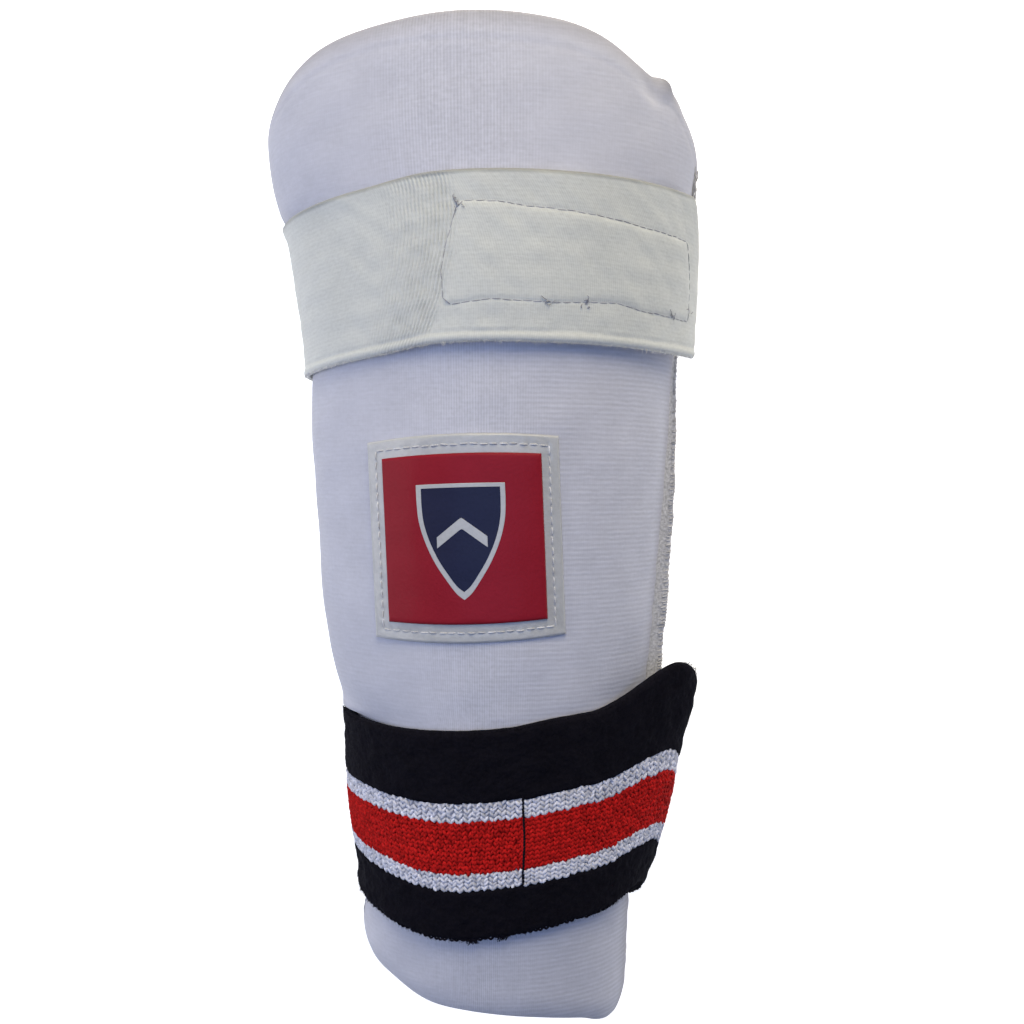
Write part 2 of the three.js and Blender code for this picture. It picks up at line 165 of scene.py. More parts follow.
# Hook patch's stitching on the strap: its lower and upper lines from the free end, and its left line upwards
PATCH_LOW = table("along across", (10.0, 9.8), (33, 10.0), (41.3, 11.2), (60, 10.2), (76, 10.8), (86.5, 9.7))
PATCH_HIGH = table(
    "along across", (10.9, 31.4), (31, 32.0), (49, 33.8), (62.4, 34.6), (69, 35.7), (77.4, 36.0)
)
PATCH_LEFT = table("across along", (11.5, 88.8), (18.5, 88.6), (24.2, 86.6), (31.3, 82.5), (34.2, 80.3))
PATCH_RIGHT = 9.7
PATCH_RIGHT_ACROSS = 21.0
# Knots and thread ends on that stitching
PATCH_KNOTS = table(
    "along across ends", (79.8, 35.3, 8), (60.8, 10.0, 4), (51.1, 10.3, 6), (9.6, 12.9, 3), (19.8, 10.0, 4)
)
HOOK_THICKNESS = 1.1
HOOK_WIDTH = 24.5
HOOK_MIDDLE_Y = 75.4
HOOK_ANGLES = (20.0, 94.0)
GAP = 0.3

# Knitted band: a loop over the front, round the left rim, under the guard and up a fold on the right
BAND_LOW_Y = -110.0
BAND_HIGH_Y = -51.5
BAND_WIDTH = BAND_HIGH_Y - BAND_LOW_Y
BAND_PILE_THICKNESS = 2.8
BAND_STRIPE_THICKNESS = 2.2
BAND_LIFT = 0.8
BAND_SIDE_LIFT = 1.5
BAND_SIDE_ANGLES = (130.0, 170.0)
BAND_LEAVES_ANGLE = 52.0
BAND_CORNER_RADIUS = 5.0
BAND_TURN_SHARE = 0.3
BAND_FOLD_HANDLE = 7.0
BAND_FRONT_HANDLE = 16.0
BAND_STEPS = {"front": 280, "corner": 24, "floor": 90, "turn": 40, "side": 70}
BAND_SHARES = 61
BAND_FRONT_RISE = table(
    "angle low high",
    (52, 3.9, 3.3),
    (64, 2.6, 2.3),
    (76, 1.3, 0.5),
    (90, -0.1, -0.5),
    (104, -0.4, -0.9),
    (120, 1.1, -1.1),
    (138, 3.2, -0.9),
    (160, 5.2, -0.8),
    (180, 6.0, -0.8),
)
BAND_FOLD = table(
    "share reach radius height rise",
    (0, 2.0, 4.5, 7.5, 5.6),
    (0.15, 4.8, 5.5, 8, 5.6),
    (0.45, 8.8, 7, 9, 6.5),
    (0.72, 10.2, 8, 10, 8.8),
    (0.88, 12.2, 9, 11, 11.4),
    (1, 12.6, 9, 11, 13.3),
)
KNIT_ROWS = table(
    "low high rows column", (0.232, 0.311, 4, 2.3), (0.311, 0.560, 12, 1.5), (0.560, 0.648, 4, 2.3)
)
BAND_STRIPES = (0.232, 0.648)
EDGE_LOOP = 1.6
YARN = {"white": 1.1, "red": 1.0}
BAND_SEAM_ANGLE = 72.2
# How far the stripes step off their run to the left and right of the seam, as shares of the width,
# and from where to where along the band each step fades
STRIPE_STEPS = (0.010, -0.003)
STRIPE_FADES = ((50, 80), (1, 9))
TUFT_ANGLES = (77.0, 91.0)

# Label: a bordered patch and its printed panel
LABEL_MIDDLE = (-1.0, 0.0)
LABEL_BOW = 1.4
LABEL_BASE = (52.0, 53.5)
LABEL_PANEL = (42.4, 43.6)
LABEL_TURN = math.radians(1.8)
LABEL_BASE_THICKNESS = 0.8
LABEL_PANEL_THICKNESS = 0.5


# Numbers and curves


def mix(first, last, share):
    return first + (last - first) * share


def smooth(value, low, high):
    """Rises gently from 0 at low to 1 at high."""
    share = np.clip((value - low) / (high - low), 0, 1)
    return share * share * (3 - 2 * share)


def falling(value, low, high):
    """Falls gently from 1 at low to 0 at high."""
    return 1 - smooth(value, low, high)


def least(first, *others):
    """The least of several numbers at each place."""
    for other in others:
        first = np.minimum(first, other)
    return first


def bell(value, middle, width):
    """1 at the middle, falling to nothing about a width away."""
    return np.exp(-(((value - middle) / width) ** 2) * 3)


def fullness(distance, radius):
    """A quarter round: 0 at an edge, 1 from a radius away."""
    return np.sqrt(1 - (1 - np.clip(distance / radius, 0, 1)) ** 2)


def curve(rows, column, place):
    """A smooth curve through one column of a table, level beyond its ends."""
    keys = next(iter(rows.values()))
    values = rows[column]
    inner = (values[2:] - values[:-2]) / (keys[2:] - keys[:-2])
    ends = np.diff(values)[[0, -1]] / np.diff(keys)[[0, -1]]
    slopes = np.concatenate([ends[:1], inner, ends[1:]])
    place = np.clip(place, keys[0], keys[-1])
    i = np.clip(np.searchsorted(keys, place, side="right") - 1, 0, len(keys) - 2)
    span = keys[i + 1] - keys[i]
    t = (place - keys[i]) / span
    lean = span * t * (1 - t) * (slopes[i] * (1 - t) - slopes[i + 1] * t)
    return mix(values[i], values[i + 1], t * t * (3 - 2 * t)) + lean


def unit(vectors):
    return vectors / np.maximum(np.linalg.norm(vectors, axis=-1, keepdims=True), 1e-9)


def waves(x, y, length, seed, count=14):
    """Soft random swells about that long, mostly between -1 and 1."""
    draw = np.random.default_rng(seed)
    total = 0
    for _ in range(count):
        turn, phase = draw.uniform(0, 2 * math.pi, 2)
        size = length * draw.uniform(0.7, 1.6)
        total = total + np.sin(2 * math.pi * (x * math.cos(turn) + y * math.sin(turn)) / size + phase)
    return total * math.sqrt(2 / count) / 2


def swells(x, y, *rows):
    """Waves added up, each given by its height, its length and its seed."""
    return sum(height * waves(x, y, *wave) for height, *wave in rows)


def stations(count, evenness):
    """Places from 0 to 1, closer together towards both ends unless evenness is 1."""
    share = np.linspace(0, 1, count)
    return mix((1 - np.cos(math.pi * share)) / 2, share, evenness)


# Places on the guard

DOWN = (0.0, 0.0, -1.0)


def placed(x, y, z):
    return np.stack(np.broadcast_arrays(x, y, z), -1).astype(float)


def arch(angle, y):
    """Places on the pad's outer skin, and the way out of it. Angle 0 is the right rim, 180 the left one."""
    half = np.where(angle < 90, curve(PAD_SECTIONS, "right", y), curve(PAD_SECTIONS, "left", y))
    rise = curve(PAD_SECTIONS, "ridge", y) - PAD_RIM_HEIGHT
    across, up = np.cos(np.radians(angle)), np.sin(np.radians(angle))
    at = placed(half * across, y, PAD_RIM_HEIGHT + rise * up)
    return at, unit(placed(across / half, 0, up / rise))


def left_corner(arriving, radius, floor_z, share):
    """A quarter turn from a place at the left rim down to the floor."""
    turn = math.pi * (1 + share / 2)
    across, up = np.cos(turn), np.sin(turn)
    drop = arriving[..., 2] - floor_z
    x = arriving[..., 0] + radius * (1 + across)
    at = placed(x, arriving[..., 1], arriving[..., 2] + drop * up)
    return at, unit(placed(across / radius, 0, up / drop))


class Surface:
    """A bent sheet with a way out at each place. Places are found by length along it and share across it.

    drift(along) is how far the sheet's middle is drawn across it, as a share.
    """

    def __init__(self, stretches, shares, loop=False, drift=None):
        self.points = np.concatenate([at for at, out in stretches])
        self.outs = np.concatenate([out for at, out in stretches])
        self.shares = shares
        if loop:
            self.points = np.concatenate([self.points, self.points[:1]])
            self.outs = np.concatenate([self.outs, self.outs[:1]])
        steps = np.diff(self.points[:, len(shares) // 2], axis=0)
        self.lengths = np.concatenate([[0], np.cumsum(np.linalg.norm(steps, axis=1))])
        self.length = self.lengths[-1]
        self.loop = loop
        self.drift = drift

    def at(self, along, share, depth=0.0):
        along, share, depth = np.broadcast_arrays(along, share, depth)
        along = np.mod(along, self.length) if self.loop else np.clip(along, 0, self.length)
        if self.drift:
            share = share + self.drift(along) * 4 * share * (1 - share)
        i = np.clip(np.searchsorted(self.lengths, along, side="right") - 1, 0, len(self.lengths) - 2)
        j = np.clip(np.searchsorted(self.shares, share, side="right") - 1, 0, len(self.shares) - 2)
        a = ((along - self.lengths[i]) / (self.lengths[i + 1] - self.lengths[i]))[..., None]
        b = ((share - self.shares[j]) / (self.shares[j + 1] - self.shares[j]))[..., None]

        def between(grid):
            return mix(mix(grid[i, j], grid[i, j + 1], b), mix(grid[i + 1, j], grid[i + 1, j + 1], b), a)

        return between(self.points) + unit(between(self.outs)) * depth[..., None]


def strap_surface():
    """The middle of the strap's thickness."""
    shares = np.linspace(0, 1, STRAP_SHARES)
    v = shares[None, :]
    half = STRAP_THICKNESS / 2
    front, corner, floor = (np.linspace(0, 1, count)[:, None] for count in STRAP_STEPS.values())

    def over_front(angle):
        y = curve(STRAP_RUN, "middle", angle) + (v - 0.5) * STRAP_WIDTH
        at, out = arch(angle, y)
        lift = mix(curve(STRAP_RUN, "lower", angle), curve(STRAP_RUN, "upper", angle), v)
        return at + out * (lift + half)[..., None], out

    free_angle = mix(*STRAP_FREE_ANGLE, v) - STRAP_FREE_BOW * 4 * v * (1 - v)
    over = over_front(mix(free_angle, 180, front))
    arriving = over_front(np.full((1, 1), 180.0))[0]
    turned = left_corner(arriving, STRAP_CORNER_RADIUS, half, corner[1:])
    start = left_corner(arriving, STRAP_CORNER_RADIUS, half, np.ones((1, 1)))[0]
    fixed_y = STRAP_FIXED_MIDDLE + (v - 0.5) * STRAP_WIDTH
    rise = STRAP_FIXED_RISE * smooth(floor[1:], STRAP_RISE_FROM, 1)
    under = placed(
        mix(start[..., 0], STRAP_FIXED_X, floor[1:]), mix(start[..., 1], fixed_y, floor[1:]), half + rise
    )
    return Surface([over, turned, (under, np.broadcast_to(DOWN, under.shape))], shares)


def band_surface():
    """The middle of the knitted band's plain thickness."""
    shares = np.linspace(0, 1, BAND_SHARES)
    v = shares[None, :]
    half = BAND_STRIPE_THICKNESS / 2
    floor_z = BAND_PILE_THICKNESS - half
    flat_y = mix(BAND_LOW_Y, BAND_HIGH_Y, v)
    share = {name: np.linspace(0, 1, count, endpoint=False)[:, None] for name, count in BAND_STEPS.items()}
    fold = {name: curve(BAND_FOLD, name, v) for name in ("reach", "radius", "height", "rise")}

    def over_front(angle, y):
        at, out = arch(angle, y)
        lift = mix(BAND_LIFT, BAND_SIDE_LIFT, smooth(angle, *BAND_SIDE_ANGLES)) + half
        return at + out * np.broadcast_to(lift, y.shape)[..., None], out

    def front_rise(angle):
        return mix(curve(BAND_FRONT_RISE, "low", angle), curve(BAND_FRONT_RISE, "high", angle), v)

    def fold_rise(along):
        pull = fold["rise"] * np.sin(math.pi * along) ** 2
        return pull + front_rise(BAND_LEAVES_ANGLE) * smooth(along, 0, 1)

    def fold_x(y):
        return curve(PAD_SECTIONS, "right", y) + fold["reach"]

    t = share["front"]
    angle = mix(BAND_LEAVES_ANGLE, 180, t)
    front = over_front(angle, flat_y + front_rise(angle))
    left_rise = front_rise(180.0)
    arriving = over_front(np.full((1, 1), 180.0), flat_y + left_rise)[0]
    corner = left_corner(arriving, BAND_CORNER_RADIUS, floor_z, share["corner"])

    t = share["floor"]
    y = flat_y + left_rise * (1 - t)
    start_x = over_front(np.full((1, 1), 180.0), y)[0][..., 0] + BAND_CORNER_RADIUS
    under = placed(mix(start_x, fold_x(y) - fold["radius"], t), y, floor_z)
    floor = (under, np.broadcast_to(DOWN, under.shape))

    t = share["turn"]
    y = flat_y + fold_rise(BAND_TURN_SHARE * t)
    across, up = np.sin(t * math.pi / 2), -np.cos(t * math.pi / 2)
    drop = fold["height"] - floor_z
    x = fold_x(y) + fold["radius"] * (across - 1)
    turn = (placed(x, y, fold["height"] + drop * up), unit(placed(across / fold["radius"], 0, up / drop)))

    t = share["side"]
    y = flat_y + fold_rise(mix(BAND_TURN_SHARE, 1, t))
    leaves, leaves_out = over_front(np.full((1, 1), BAND_LEAVES_ANGLE), y)
    downhill = placed(leaves_out[..., 2], 0, -leaves_out[..., 0])
    guides = (
        placed(fold_x(y), y, fold["height"]),
        placed(fold_x(y), y, fold["height"] + BAND_FOLD_HANDLE),
        leaves + downhill * BAND_FRONT_HANDLE,
        leaves,
    )
    s = t[..., None]
    weights = ((1 - s) ** 3, 3 * s * (1 - s) ** 2, 3 * s * s * (1 - s), s**3)
    at = sum(weight * guide for weight, guide in zip(weights, guides))
    legs = [guides[k + 1] - guides[k] for k in range(3)]
    ahead = (1 - s) ** 2 * legs[0] + 2 * s * (1 - s) * legs[1] + s * s * legs[2]
    side = (at, unit(placed(ahead[..., 2], 0, -ahead[..., 0])))
    sheet = Surface([front, corner, floor, turn, side], shares, loop=True)
    seam_at = angle_length(sheet, BAND_SEAM_ANGLE)

    def drift(along):
        past = along - seam_at
        left = STRIPE_STEPS[0] * falling(past, *STRIPE_FADES[0])
        right = STRIPE_STEPS[1] * falling(-past, *STRIPE_FADES[1])
        return np.where(past > 0, left, right)

    sheet.drift = drift
    return sheet


def angle_length(surface, angle):
    """Length along the band's front at an angle round the pad."""
    front = BAND_STEPS["front"]
    place = (angle - BAND_LEAVES_ANGLE) / (180 - BAND_LEAVES_ANGLE) * front
    return float(np.interp(place, np.arange(front + 1), surface.lengths[: front + 1]))


def label_places(x, y, depth):
    """Places on the label: x and y from its middle, bowed as it lies on the pad."""
    y = y + LABEL_BOW * (1 - (2 * x / LABEL_BASE[0]) ** 2) * (2 * y / LABEL_BASE[1])
    turn, lean = math.cos(LABEL_TURN), math.sin(LABEL_TURN)
    x, y = LABEL_MIDDLE[0] + x * turn - y * lean, LABEL_MIDDLE[1] + x * lean + y * turn
    half = np.where(x > 0, curve(PAD_SECTIONS, "right", y), curve(PAD_SECTIONS, "left", y))
    angle = 90 - np.degrees(np.arcsin(x / half))
    at, out = arch(angle, y)
    return at + out * np.broadcast_to(depth, y.shape)[..., None]


# Meshes

FLOOR_SOFTNESS = 0.4
DASH_POINTS = 6
END_POINTS = 9


def added(name, data):
    """A new object in the scene."""
    made = bpy.data.objects.new(name, data)
    bpy.context.scene.collection.objects.link(made)
    return made


def new_piece(name, points, quads, material, uv=None, shade=None):
    """A smooth mesh of four-sided faces, pressed flat where it meets the floor.

    uv is in millimetres, for each corner; shade is for each point.
    """
    mesh = bpy.data.meshes.new(name)
    mesh.vertices.add(len(points))
    points = points - FOOTPRINT_MIDDLE
    deep = np.minimum(points[:, 2] - FLOOR_SOFTNESS, 0)
    points[:, 2] = np.where(deep < 0, FLOOR_SOFTNESS * np.exp(deep / FLOOR_SOFTNESS), points[:, 2])
    mesh.vertices.foreach_set("co", (points * MM).astype(np.float32).ravel())
    mesh.loops.add(quads.size)
    mesh.loops.foreach_set("vertex_index", quads.astype(np.int32).ravel())
    mesh.polygons.add(len(quads))
    mesh.polygons.foreach_set("loop_start", np.arange(0, quads.size, 4, dtype=np.int32))
    mesh.polygons.foreach_set("use_smooth", np.ones(len(quads), bool))
    if uv is not None:
        mesh.uv_layers.new(name="cloth").data.foreach_set("uv", uv.astype(np.float32).ravel())
    if shade is not None:
        layer = mesh.attributes.new("shade", "FLOAT", "POINT")
        layer.data.foreach_set("value", shade.astype(np.float32).ravel())
    mesh.update()
    mesh.validate()
    mesh.materials.append(material)
    return added(name, mesh)


def grid_faces(columns, rows, loop=False):
    """Faces of a grid of points, and the grid places of each face's corners."""
    i, j = np.meshgrid(np.arange(columns if loop else columns - 1), np.arange(rows - 1), indexing="ij")
    corners = np.stack([i, i, i + 1, i + 1], -1), np.stack([j, j + 1, j + 1, j], -1)
    columns_at, rows_at = (corner.reshape(-1, 4) for corner in corners)
    return (columns_at % columns) * rows + rows_at, columns_at, rows_at


def closed_sheet(name, outer, inner, along, across, material, loop=False, shade=None):
    """A thick sheet between two grids of points, closed round its edges.

    along and across are the lengths of its cloth in millimetres.
    """
    columns, rows = outer.shape[:2]
    faces, columns_at, rows_at = grid_faces(columns, rows, loop)
    count = columns * rows
    spread = np.stack([np.asarray(along)[columns_at], np.asarray(across)[rows_at]], -1)
    quads = [faces, faces[:, ::-1] + count]
    uvs = [spread, spread[:, ::-1]]
    grid = np.arange(count).reshape(columns, rows)
    borders = [(grid[:, 0], along, 0, False), (grid[:, -1], along, -1, True)]
    if not loop:
        borders += [(grid[0], across, 0, True), (grid[-1], across, -1, False)]
    for line, lengths, end, turned in borders:
        first, last = (line, np.roll(line, -1)) if loop else (line[:-1], line[1:])
        strip = np.stack([first, last, last + count, first + count], -1)
        run = np.stack([lengths[: len(first)], lengths[1 : len(first) + 1]], -1)[:, [0, 1, 1, 0]]
        fixed = np.full(run.shape, (across if lengths is along else along)[end], float)
        place = np.stack([run, fixed] if lengths is along else [fixed, run], -1)
        quads.append(strip[:, ::-1] if turned else strip)
        uvs.append(place[:, ::-1] if turned else place)
    points = np.concatenate([outer.reshape(-1, 3), inner.reshape(-1, 3)])
    shades = None if shade is None else np.tile(shade.ravel(), 2)
    return new_piece(name, points, np.concatenate(quads), material, np.concatenate(uvs), shades)


def tubes(name, paths, radius, material, sides=6, shade=None):
    """Round strands along paths that have the same number of points.

    radius is one number or one for each point. Strands have random shades unless they are given.
    """
    count, length = paths.shape[:2]
    if shade is None:
        shade = rng.uniform(0, 1, count)
    ahead = unit(np.gradient(paths, axis=1))
    lean = np.where(np.abs(ahead[..., 2:]) > 0.9, [[[1.0, 0.0, 0.0]]], [[[0.0, 0.0, 1.0]]])
    side = unit(np.cross(ahead, lean))
    over = np.cross(side, ahead)
    turn = 2 * math.pi * np.arange(sides) / sides
    ring = side[:, :, None] * np.cos(turn)[:, None] + over[:, :, None] * np.sin(turn)[:, None]
    thick = np.broadcast_to(radius, (count, length))[:, :, None, None]
    points = (paths[:, :, None] + ring * thick).reshape(-1, 3)
    i, j, k = np.meshgrid(np.arange(count), np.arange(length - 1), np.arange(sides), indexing="ij")
    start = (i * length + j) * sides
    after = (k + 1) % sides
    quads = np.stack([start + k, start + after, start + sides + after, start + sides + k], -1).reshape(-1, 4)
    return new_piece(name, points, quads, material, shade=np.repeat(shade, length * sides))


def dashes(locate, corners, dash, gap, sink, height):
    """Paths of a running stitch along a line of corners on a surface that locate(x, y, depth) gives."""
    found = []
    for first, last in zip(corners[:-1], corners[1:]):
        span = np.linalg.norm(np.subtract(last, first))
        count = max(1, round(span / (dash + gap)))
        step = span / count
        share = np.linspace(0, 1, DASH_POINTS)[None, :]
        at = (np.arange(count)[:, None] * step + gap / 2 + share * (step - gap)) / span
        at = at + rng.normal(0, 0.04 * step / span, (count, 1))
        skew = rng.normal(0, 0.06, (count, 1)) + rng.normal(0, 0.08, (count, 1)) * (share - 0.5)
        across = np.array([last[1] - first[1], first[0] - last[0]]) / span
        x = mix(first[0], last[0], at) + across[0] * skew
        y = mix(first[1], last[1], at) + across[1] * skew
        depth = -sink + (sink + height) * np.sin(math.pi * share) ** 0.5
        found.append(locate(x, y, np.broadcast_to(depth, x.shape)))
    return np.concatenate(found)


def loose_ends(locate, starts, length, spread, height):
    """Paths of thread ends that curl away from places on a surface."""
    found = []
    t = np.linspace(0, 1, END_POINTS)[None, :]
    for x, y, heading in starts:
        turn = np.radians(heading) + rng.normal(0, spread) * t + rng.normal(0, spread) * t * t
        step = length * rng.uniform(0.7, 1.3) / (END_POINTS - 1)
        along_x = x + np.cumsum(np.cos(turn), axis=1) * step
        along_y = y + np.cumsum(np.sin(turn), axis=1) * step
        found.append(locate(along_x, along_y, height * np.sin(math.pi * 0.8 * t) + 0.05))
    return np.concatenate(found)


# Materials

WAVE_UNIT = math.pi / 10
# Length round the pad from its right rim to the ridge, where the cloth's lines along the arm show most
RIDGE_ROUND = 74.0
RIDGE_REACH = 40.0
WALE = 0.64
COURSE = 1.36
STRAP_RIB = 1.16
STRAP_FLOAT = 0.62

WHITE = (1.0, 1.0, 1.0)
COVER = (0.53, 0.54, 0.625)
# Grey of the painted shade at the cover's rims, ends and gathered corner
PAINTED_SHADE_GREY = (0.74, 0.73, 0.73)
ELASTIC = (0.555, 0.575, 0.565)
KNIT_BLACK = (0.0066, 0.006, 0.0098)
KNIT_WHITE = (0.68, 0.69, 0.79)
KNIT_RED = (0.54, 0.013, 0.012)
BLOOM = (0.25, 0.3, 0.6)
# Painted shade: how much darker than the stripes' yarn the ground shows between the stitches
GROUND_SHADE = 0.8
HOOK_GREY = (0.5, 0.5, 0.5)
LABEL_RED = (0.26, 0.010, 0.022)
LABEL_WHITE = (0.47, 0.48, 0.50)
NAVY = (0.012, 0.014, 0.045)
THREAD = (0.60, 0.605, 0.63)
SEAM_CLOTH = (0.53, 0.525, 0.545)
SEAM_THREAD = (0.57, 0.565, 0.57)
GREY_THREAD = (0.30, 0.30, 0.335)


def scaled(color, amount):
    return tuple(part * amount for part in color)


def node(tree, kind, inputs, **settings):
    """A shader node with its settings, and inputs that are plain values or Factors."""
    made = tree.nodes.new("ShaderNode" + kind)
    for name, value in settings.items():
        setattr(made, name, value)
    for place, value in inputs.items():
        if isinstance(value, Factor):
            tree.links.new(value.socket, made.inputs[place])
        else:
            made.inputs[place].default_value = value
    return made


class Factor:
    """A value in a shader that can be added, subtracted and multiplied."""

    def __init__(self, tree, socket):
        self.tree = tree
        self.socket = socket

    def worked(self, operation, other):
        return Factor(self.tree, node(self.tree, "Math", {0: self, 1: other}, operation=operation).outputs[0])

    def __add__(self, other):
        return self.worked("ADD", other)

    def __sub__(self, other):
        return self.worked("SUBTRACT", other)

    def __mul__(self, other):
        return self.worked("MULTIPLY", other)


class Paint:
    """A material in the making. Patterns are sized in millimetres, on the piece's cloth or in space.

    Patterns run from 0 to 1. The shader's sockets are named with _ for a space.
    """

    def __init__(self, name, color, roughness, on_cloth=True, **sockets):
        self.color = color
        self.material = bpy.data.materials.new(name)
        self.material.use_nodes = True
        self.tree = self.material.node_tree
        self.shader = self.tree.nodes["Principled BSDF"]
        for socket, value in {"Base_Color": (*color, 1), "Roughness": roughness, **sockets}.items():
            self.shader.inputs[socket.replace("_", " ")].default_value = value
        self.unit = 1 if on_cloth else MM
        if on_cloth:
            self.places = self.made("UV", "UVMap", {}, uv_map="cloth")
        else:
            self.places = self.made("Object", "TexCoord", {})

    def made(self, output, kind, inputs, **settings):
        return Factor(self.tree, node(self.tree, kind, inputs, **settings).outputs[output])

    def stripes(self, pitch, direction, wobble=0.0):
        """Soft lines at a pitch."""
        scale = {"Vector": self.places, "Scale": WAVE_UNIT / pitch}
        bends = {"Distortion": wobble, "Detail": 2.0, "Detail Scale": 1.5}
        return self.made("Fac", "TexWave", {**scale, **bends}, bands_direction=direction)

    def cloud(self, size, detail=2.0):
        """Soft patches about that big."""
        scale = 1 / (size * self.unit)
        return self.made("Fac", "TexNoise", {"Vector": self.places, "Scale": scale, "Detail": detail})

    def streaks(self, wide, tall):
        """Soft streaks about that wide and tall."""
        drawn = self.made("Vector", "Mapping", {"Vector": self.places, "Scale": (1 / wide, 1 / tall, 1)})
        return self.made("Fac", "TexNoise", {"Vector": drawn, "Scale": 1.0, "Detail": 2.0})

    def along(self, axis):
        """How far a place is along one axis of the cloth."""
        return self.made(axis, "SeparateXYZ", {"Vector": self.places})

    def shade(self):
        """The shade that the mesh gives its points."""
        return self.made("Fac", "Attribute", {}, attribute_name="shade")

    def ramp(self, factor, *stops, blend="LINEAR"):
        """A colour ramp through places and colours."""
        made = node(self.tree, "ValToRGB", {"Fac": factor})
        made.color_ramp.interpolation = blend
        elements = made.color_ramp.elements
        while len(elements) < len(stops):
            elements.new(0.5)
        for element, (place, color) in zip(elements, stops):
            element.position = place
            element.color = (*color, 1)
        return Factor(self.tree, made.outputs["Color"])

    def levels(self, factor, *stops):
        """A ramp through places and greys."""
        return self.ramp(factor, *((place, scaled(WHITE, grey)) for place, grey in stops))

    def shaded(self, factor, *stops):
        """A ramp through places and shades of the paint's colour."""
        return self.ramp(factor, *((place, scaled(self.color, amount)) for place, amount in stops))

    def tinted(self, first, second):
        """Two colours multiplied."""
        return self.made(0, "VectorMath", {0: first, 1: second}, operation="MULTIPLY")

    def finished(self, color, height, depth, strength=1.0):
        """The material with its colour, and bumps that many millimetres deep."""
        normal = self.made("Normal", "Bump", {"Height": height, "Distance": depth * MM, "Strength": strength})
        for socket, factor in (("Base Color", color), ("Normal", normal)):
            self.tree.links.new(factor.socket, self.shader.inputs[socket])
        return self.material


def cover_material():
    """White warp-knit cloth: fine lines along the arm in the middle, broken ones across it elsewhere.

    The cloth is greyer where a point's shade is set, a painted shade at its rims, rolled ends and gathered
    corner.
    """
    paint = Paint("cover_cloth", COVER, 0.85, Specular_IOR_Level=0.3)
    wales = paint.stripes(WALE, "X", 0.5) * paint.streaks(0.9, 9.0)
    courses = paint.stripes(COURSE, "Y", 1.4) * paint.streaks(7.0, 1.2)
    ribbing = wales * 0.75 + paint.streaks(1.8, 26.0) * 0.45
    drawn = paint.streaks(5.0, 0.7)
    grain, blotches, patches = paint.cloud(1.1), paint.cloud(9.0), paint.cloud(34.0)
    to_right = paint.along("X") * -1 + RIDGE_ROUND
    off_ridge = to_right.worked("ABSOLUTE", 0)
    on_ridge = paint.levels(off_ridge * (1 / RIDGE_REACH) + patches * 0.5, (0.35, 1.0), (0.75, 0.15))
    on_right = paint.levels(to_right * (1 / RIDGE_REACH) + patches * 0.5, (0.3, 0.25), (0.75, 1.0))
    below_strap = paint.levels(paint.along("Y") * 0.01, (0.45, 1.0), (0.75, 0.3))
    lengthwise = (ribbing - 0.41) * on_ridge
    crosswise = (courses - 0.25) * on_right * below_strap
    rough = (grain - 0.5) * on_ridge
    cloth = lengthwise * 0.75 + crosswise * 0.45 + drawn * 0.34 + grain * 0.22 + rough * 0.35
    mottle = cloth * 0.7 + patches * 0.2 + blotches * 0.18
    color = paint.shaded(mottle, (0.18, 0.86), (0.54, 1.11))
    # Painted shade: the points' shade greys the cloth at its rims, rolled ends and gathered corner
    painted_shade_tint = paint.ramp(paint.shade(), (0, WHITE), (0.7, PAINTED_SHADE_GREY), (1, scaled(PAINTED_SHADE_GREY, 0.68)))
    return paint.finished(paint.tinted(color, painted_shade_tint), cloth, 0.10, 0.7)


def seam_material():
    """The cover's overlocked edge: mottled, with short marks across it."""
    paint = Paint("seam_cloth", SEAM_CLOTH, 0.85, Specular_IOR_Level=0.3)
    marks = paint.cloud(0.9) * 0.5 + paint.streaks(0.7, 1.6) * 0.5
    return paint.finished(paint.shaded(marks, (0.36, 0.72), (0.62, 1.15)), marks, 0.3, 0.9)


def elastic_material():
    """Woven elastic: fine ribs crossed by short floats, with painted shade where a point's shade is set."""
    paint = Paint("elastic_web", ELASTIC, 0.7, Sheen_Weight=0.1, Sheen_Roughness=0.5)
    floats = paint.stripes(STRAP_FLOAT, "X", 0.6)
    ribs = paint.stripes(STRAP_RIB, "Y", 0.7) * paint.streaks(2.4, 1.0)
    weave = floats * 0.14 + ribs * 0.18 + paint.streaks(1.5, 0.6) * 0.44 + paint.cloud(1.1) * 0.40
    color = paint.shaded(weave * 0.75 + paint.cloud(16.0) * 0.25, (0.28, 0.87), (0.62, 1.09))
    # Painted shade from the points' shade attribute
    painted_shade_tint = paint.levels(paint.shade(), (0, 1.0), (1, 0.5))
    return paint.finished(paint.tinted(color, painted_shade_tint), weave, 0.10, 0.8)


def pile_material():
    """Black brushed knit with a faint navy bloom, and the ground behind the stripes in their colours,
    darkened by painted shade.
    """
    sheen = {"Sheen_Weight": 0.015, "Sheen_Roughness": 0.6, "Sheen_Tint": (*BLOOM, 1)}
    paint = Paint("black_pile", KNIT_BLACK, 0.95, Specular_IOR_Level=0.05, **sheen)
    tufts = paint.cloud(1.1, 4.0)
    stops = [(0, KNIT_BLACK)]
    for low, color in zip(KNIT_ROWS["low"], (KNIT_WHITE, KNIT_RED, KNIT_WHITE)):
        stops.append((low, scaled(color, GROUND_SHADE)))
    stops.append((KNIT_ROWS["high"][-1], KNIT_BLACK))
    ground = paint.ramp(paint.along("Y") * (1 / BAND_WIDTH), *stops, blend="CONSTANT")
    mottle = paint.levels(tufts * 0.6 + paint.cloud(7.0) * 0.4, (0.3, 0.55), (0.6, 1.0))
    return paint.finished(paint.tinted(ground, mottle), tufts, 0.5, 0.9)


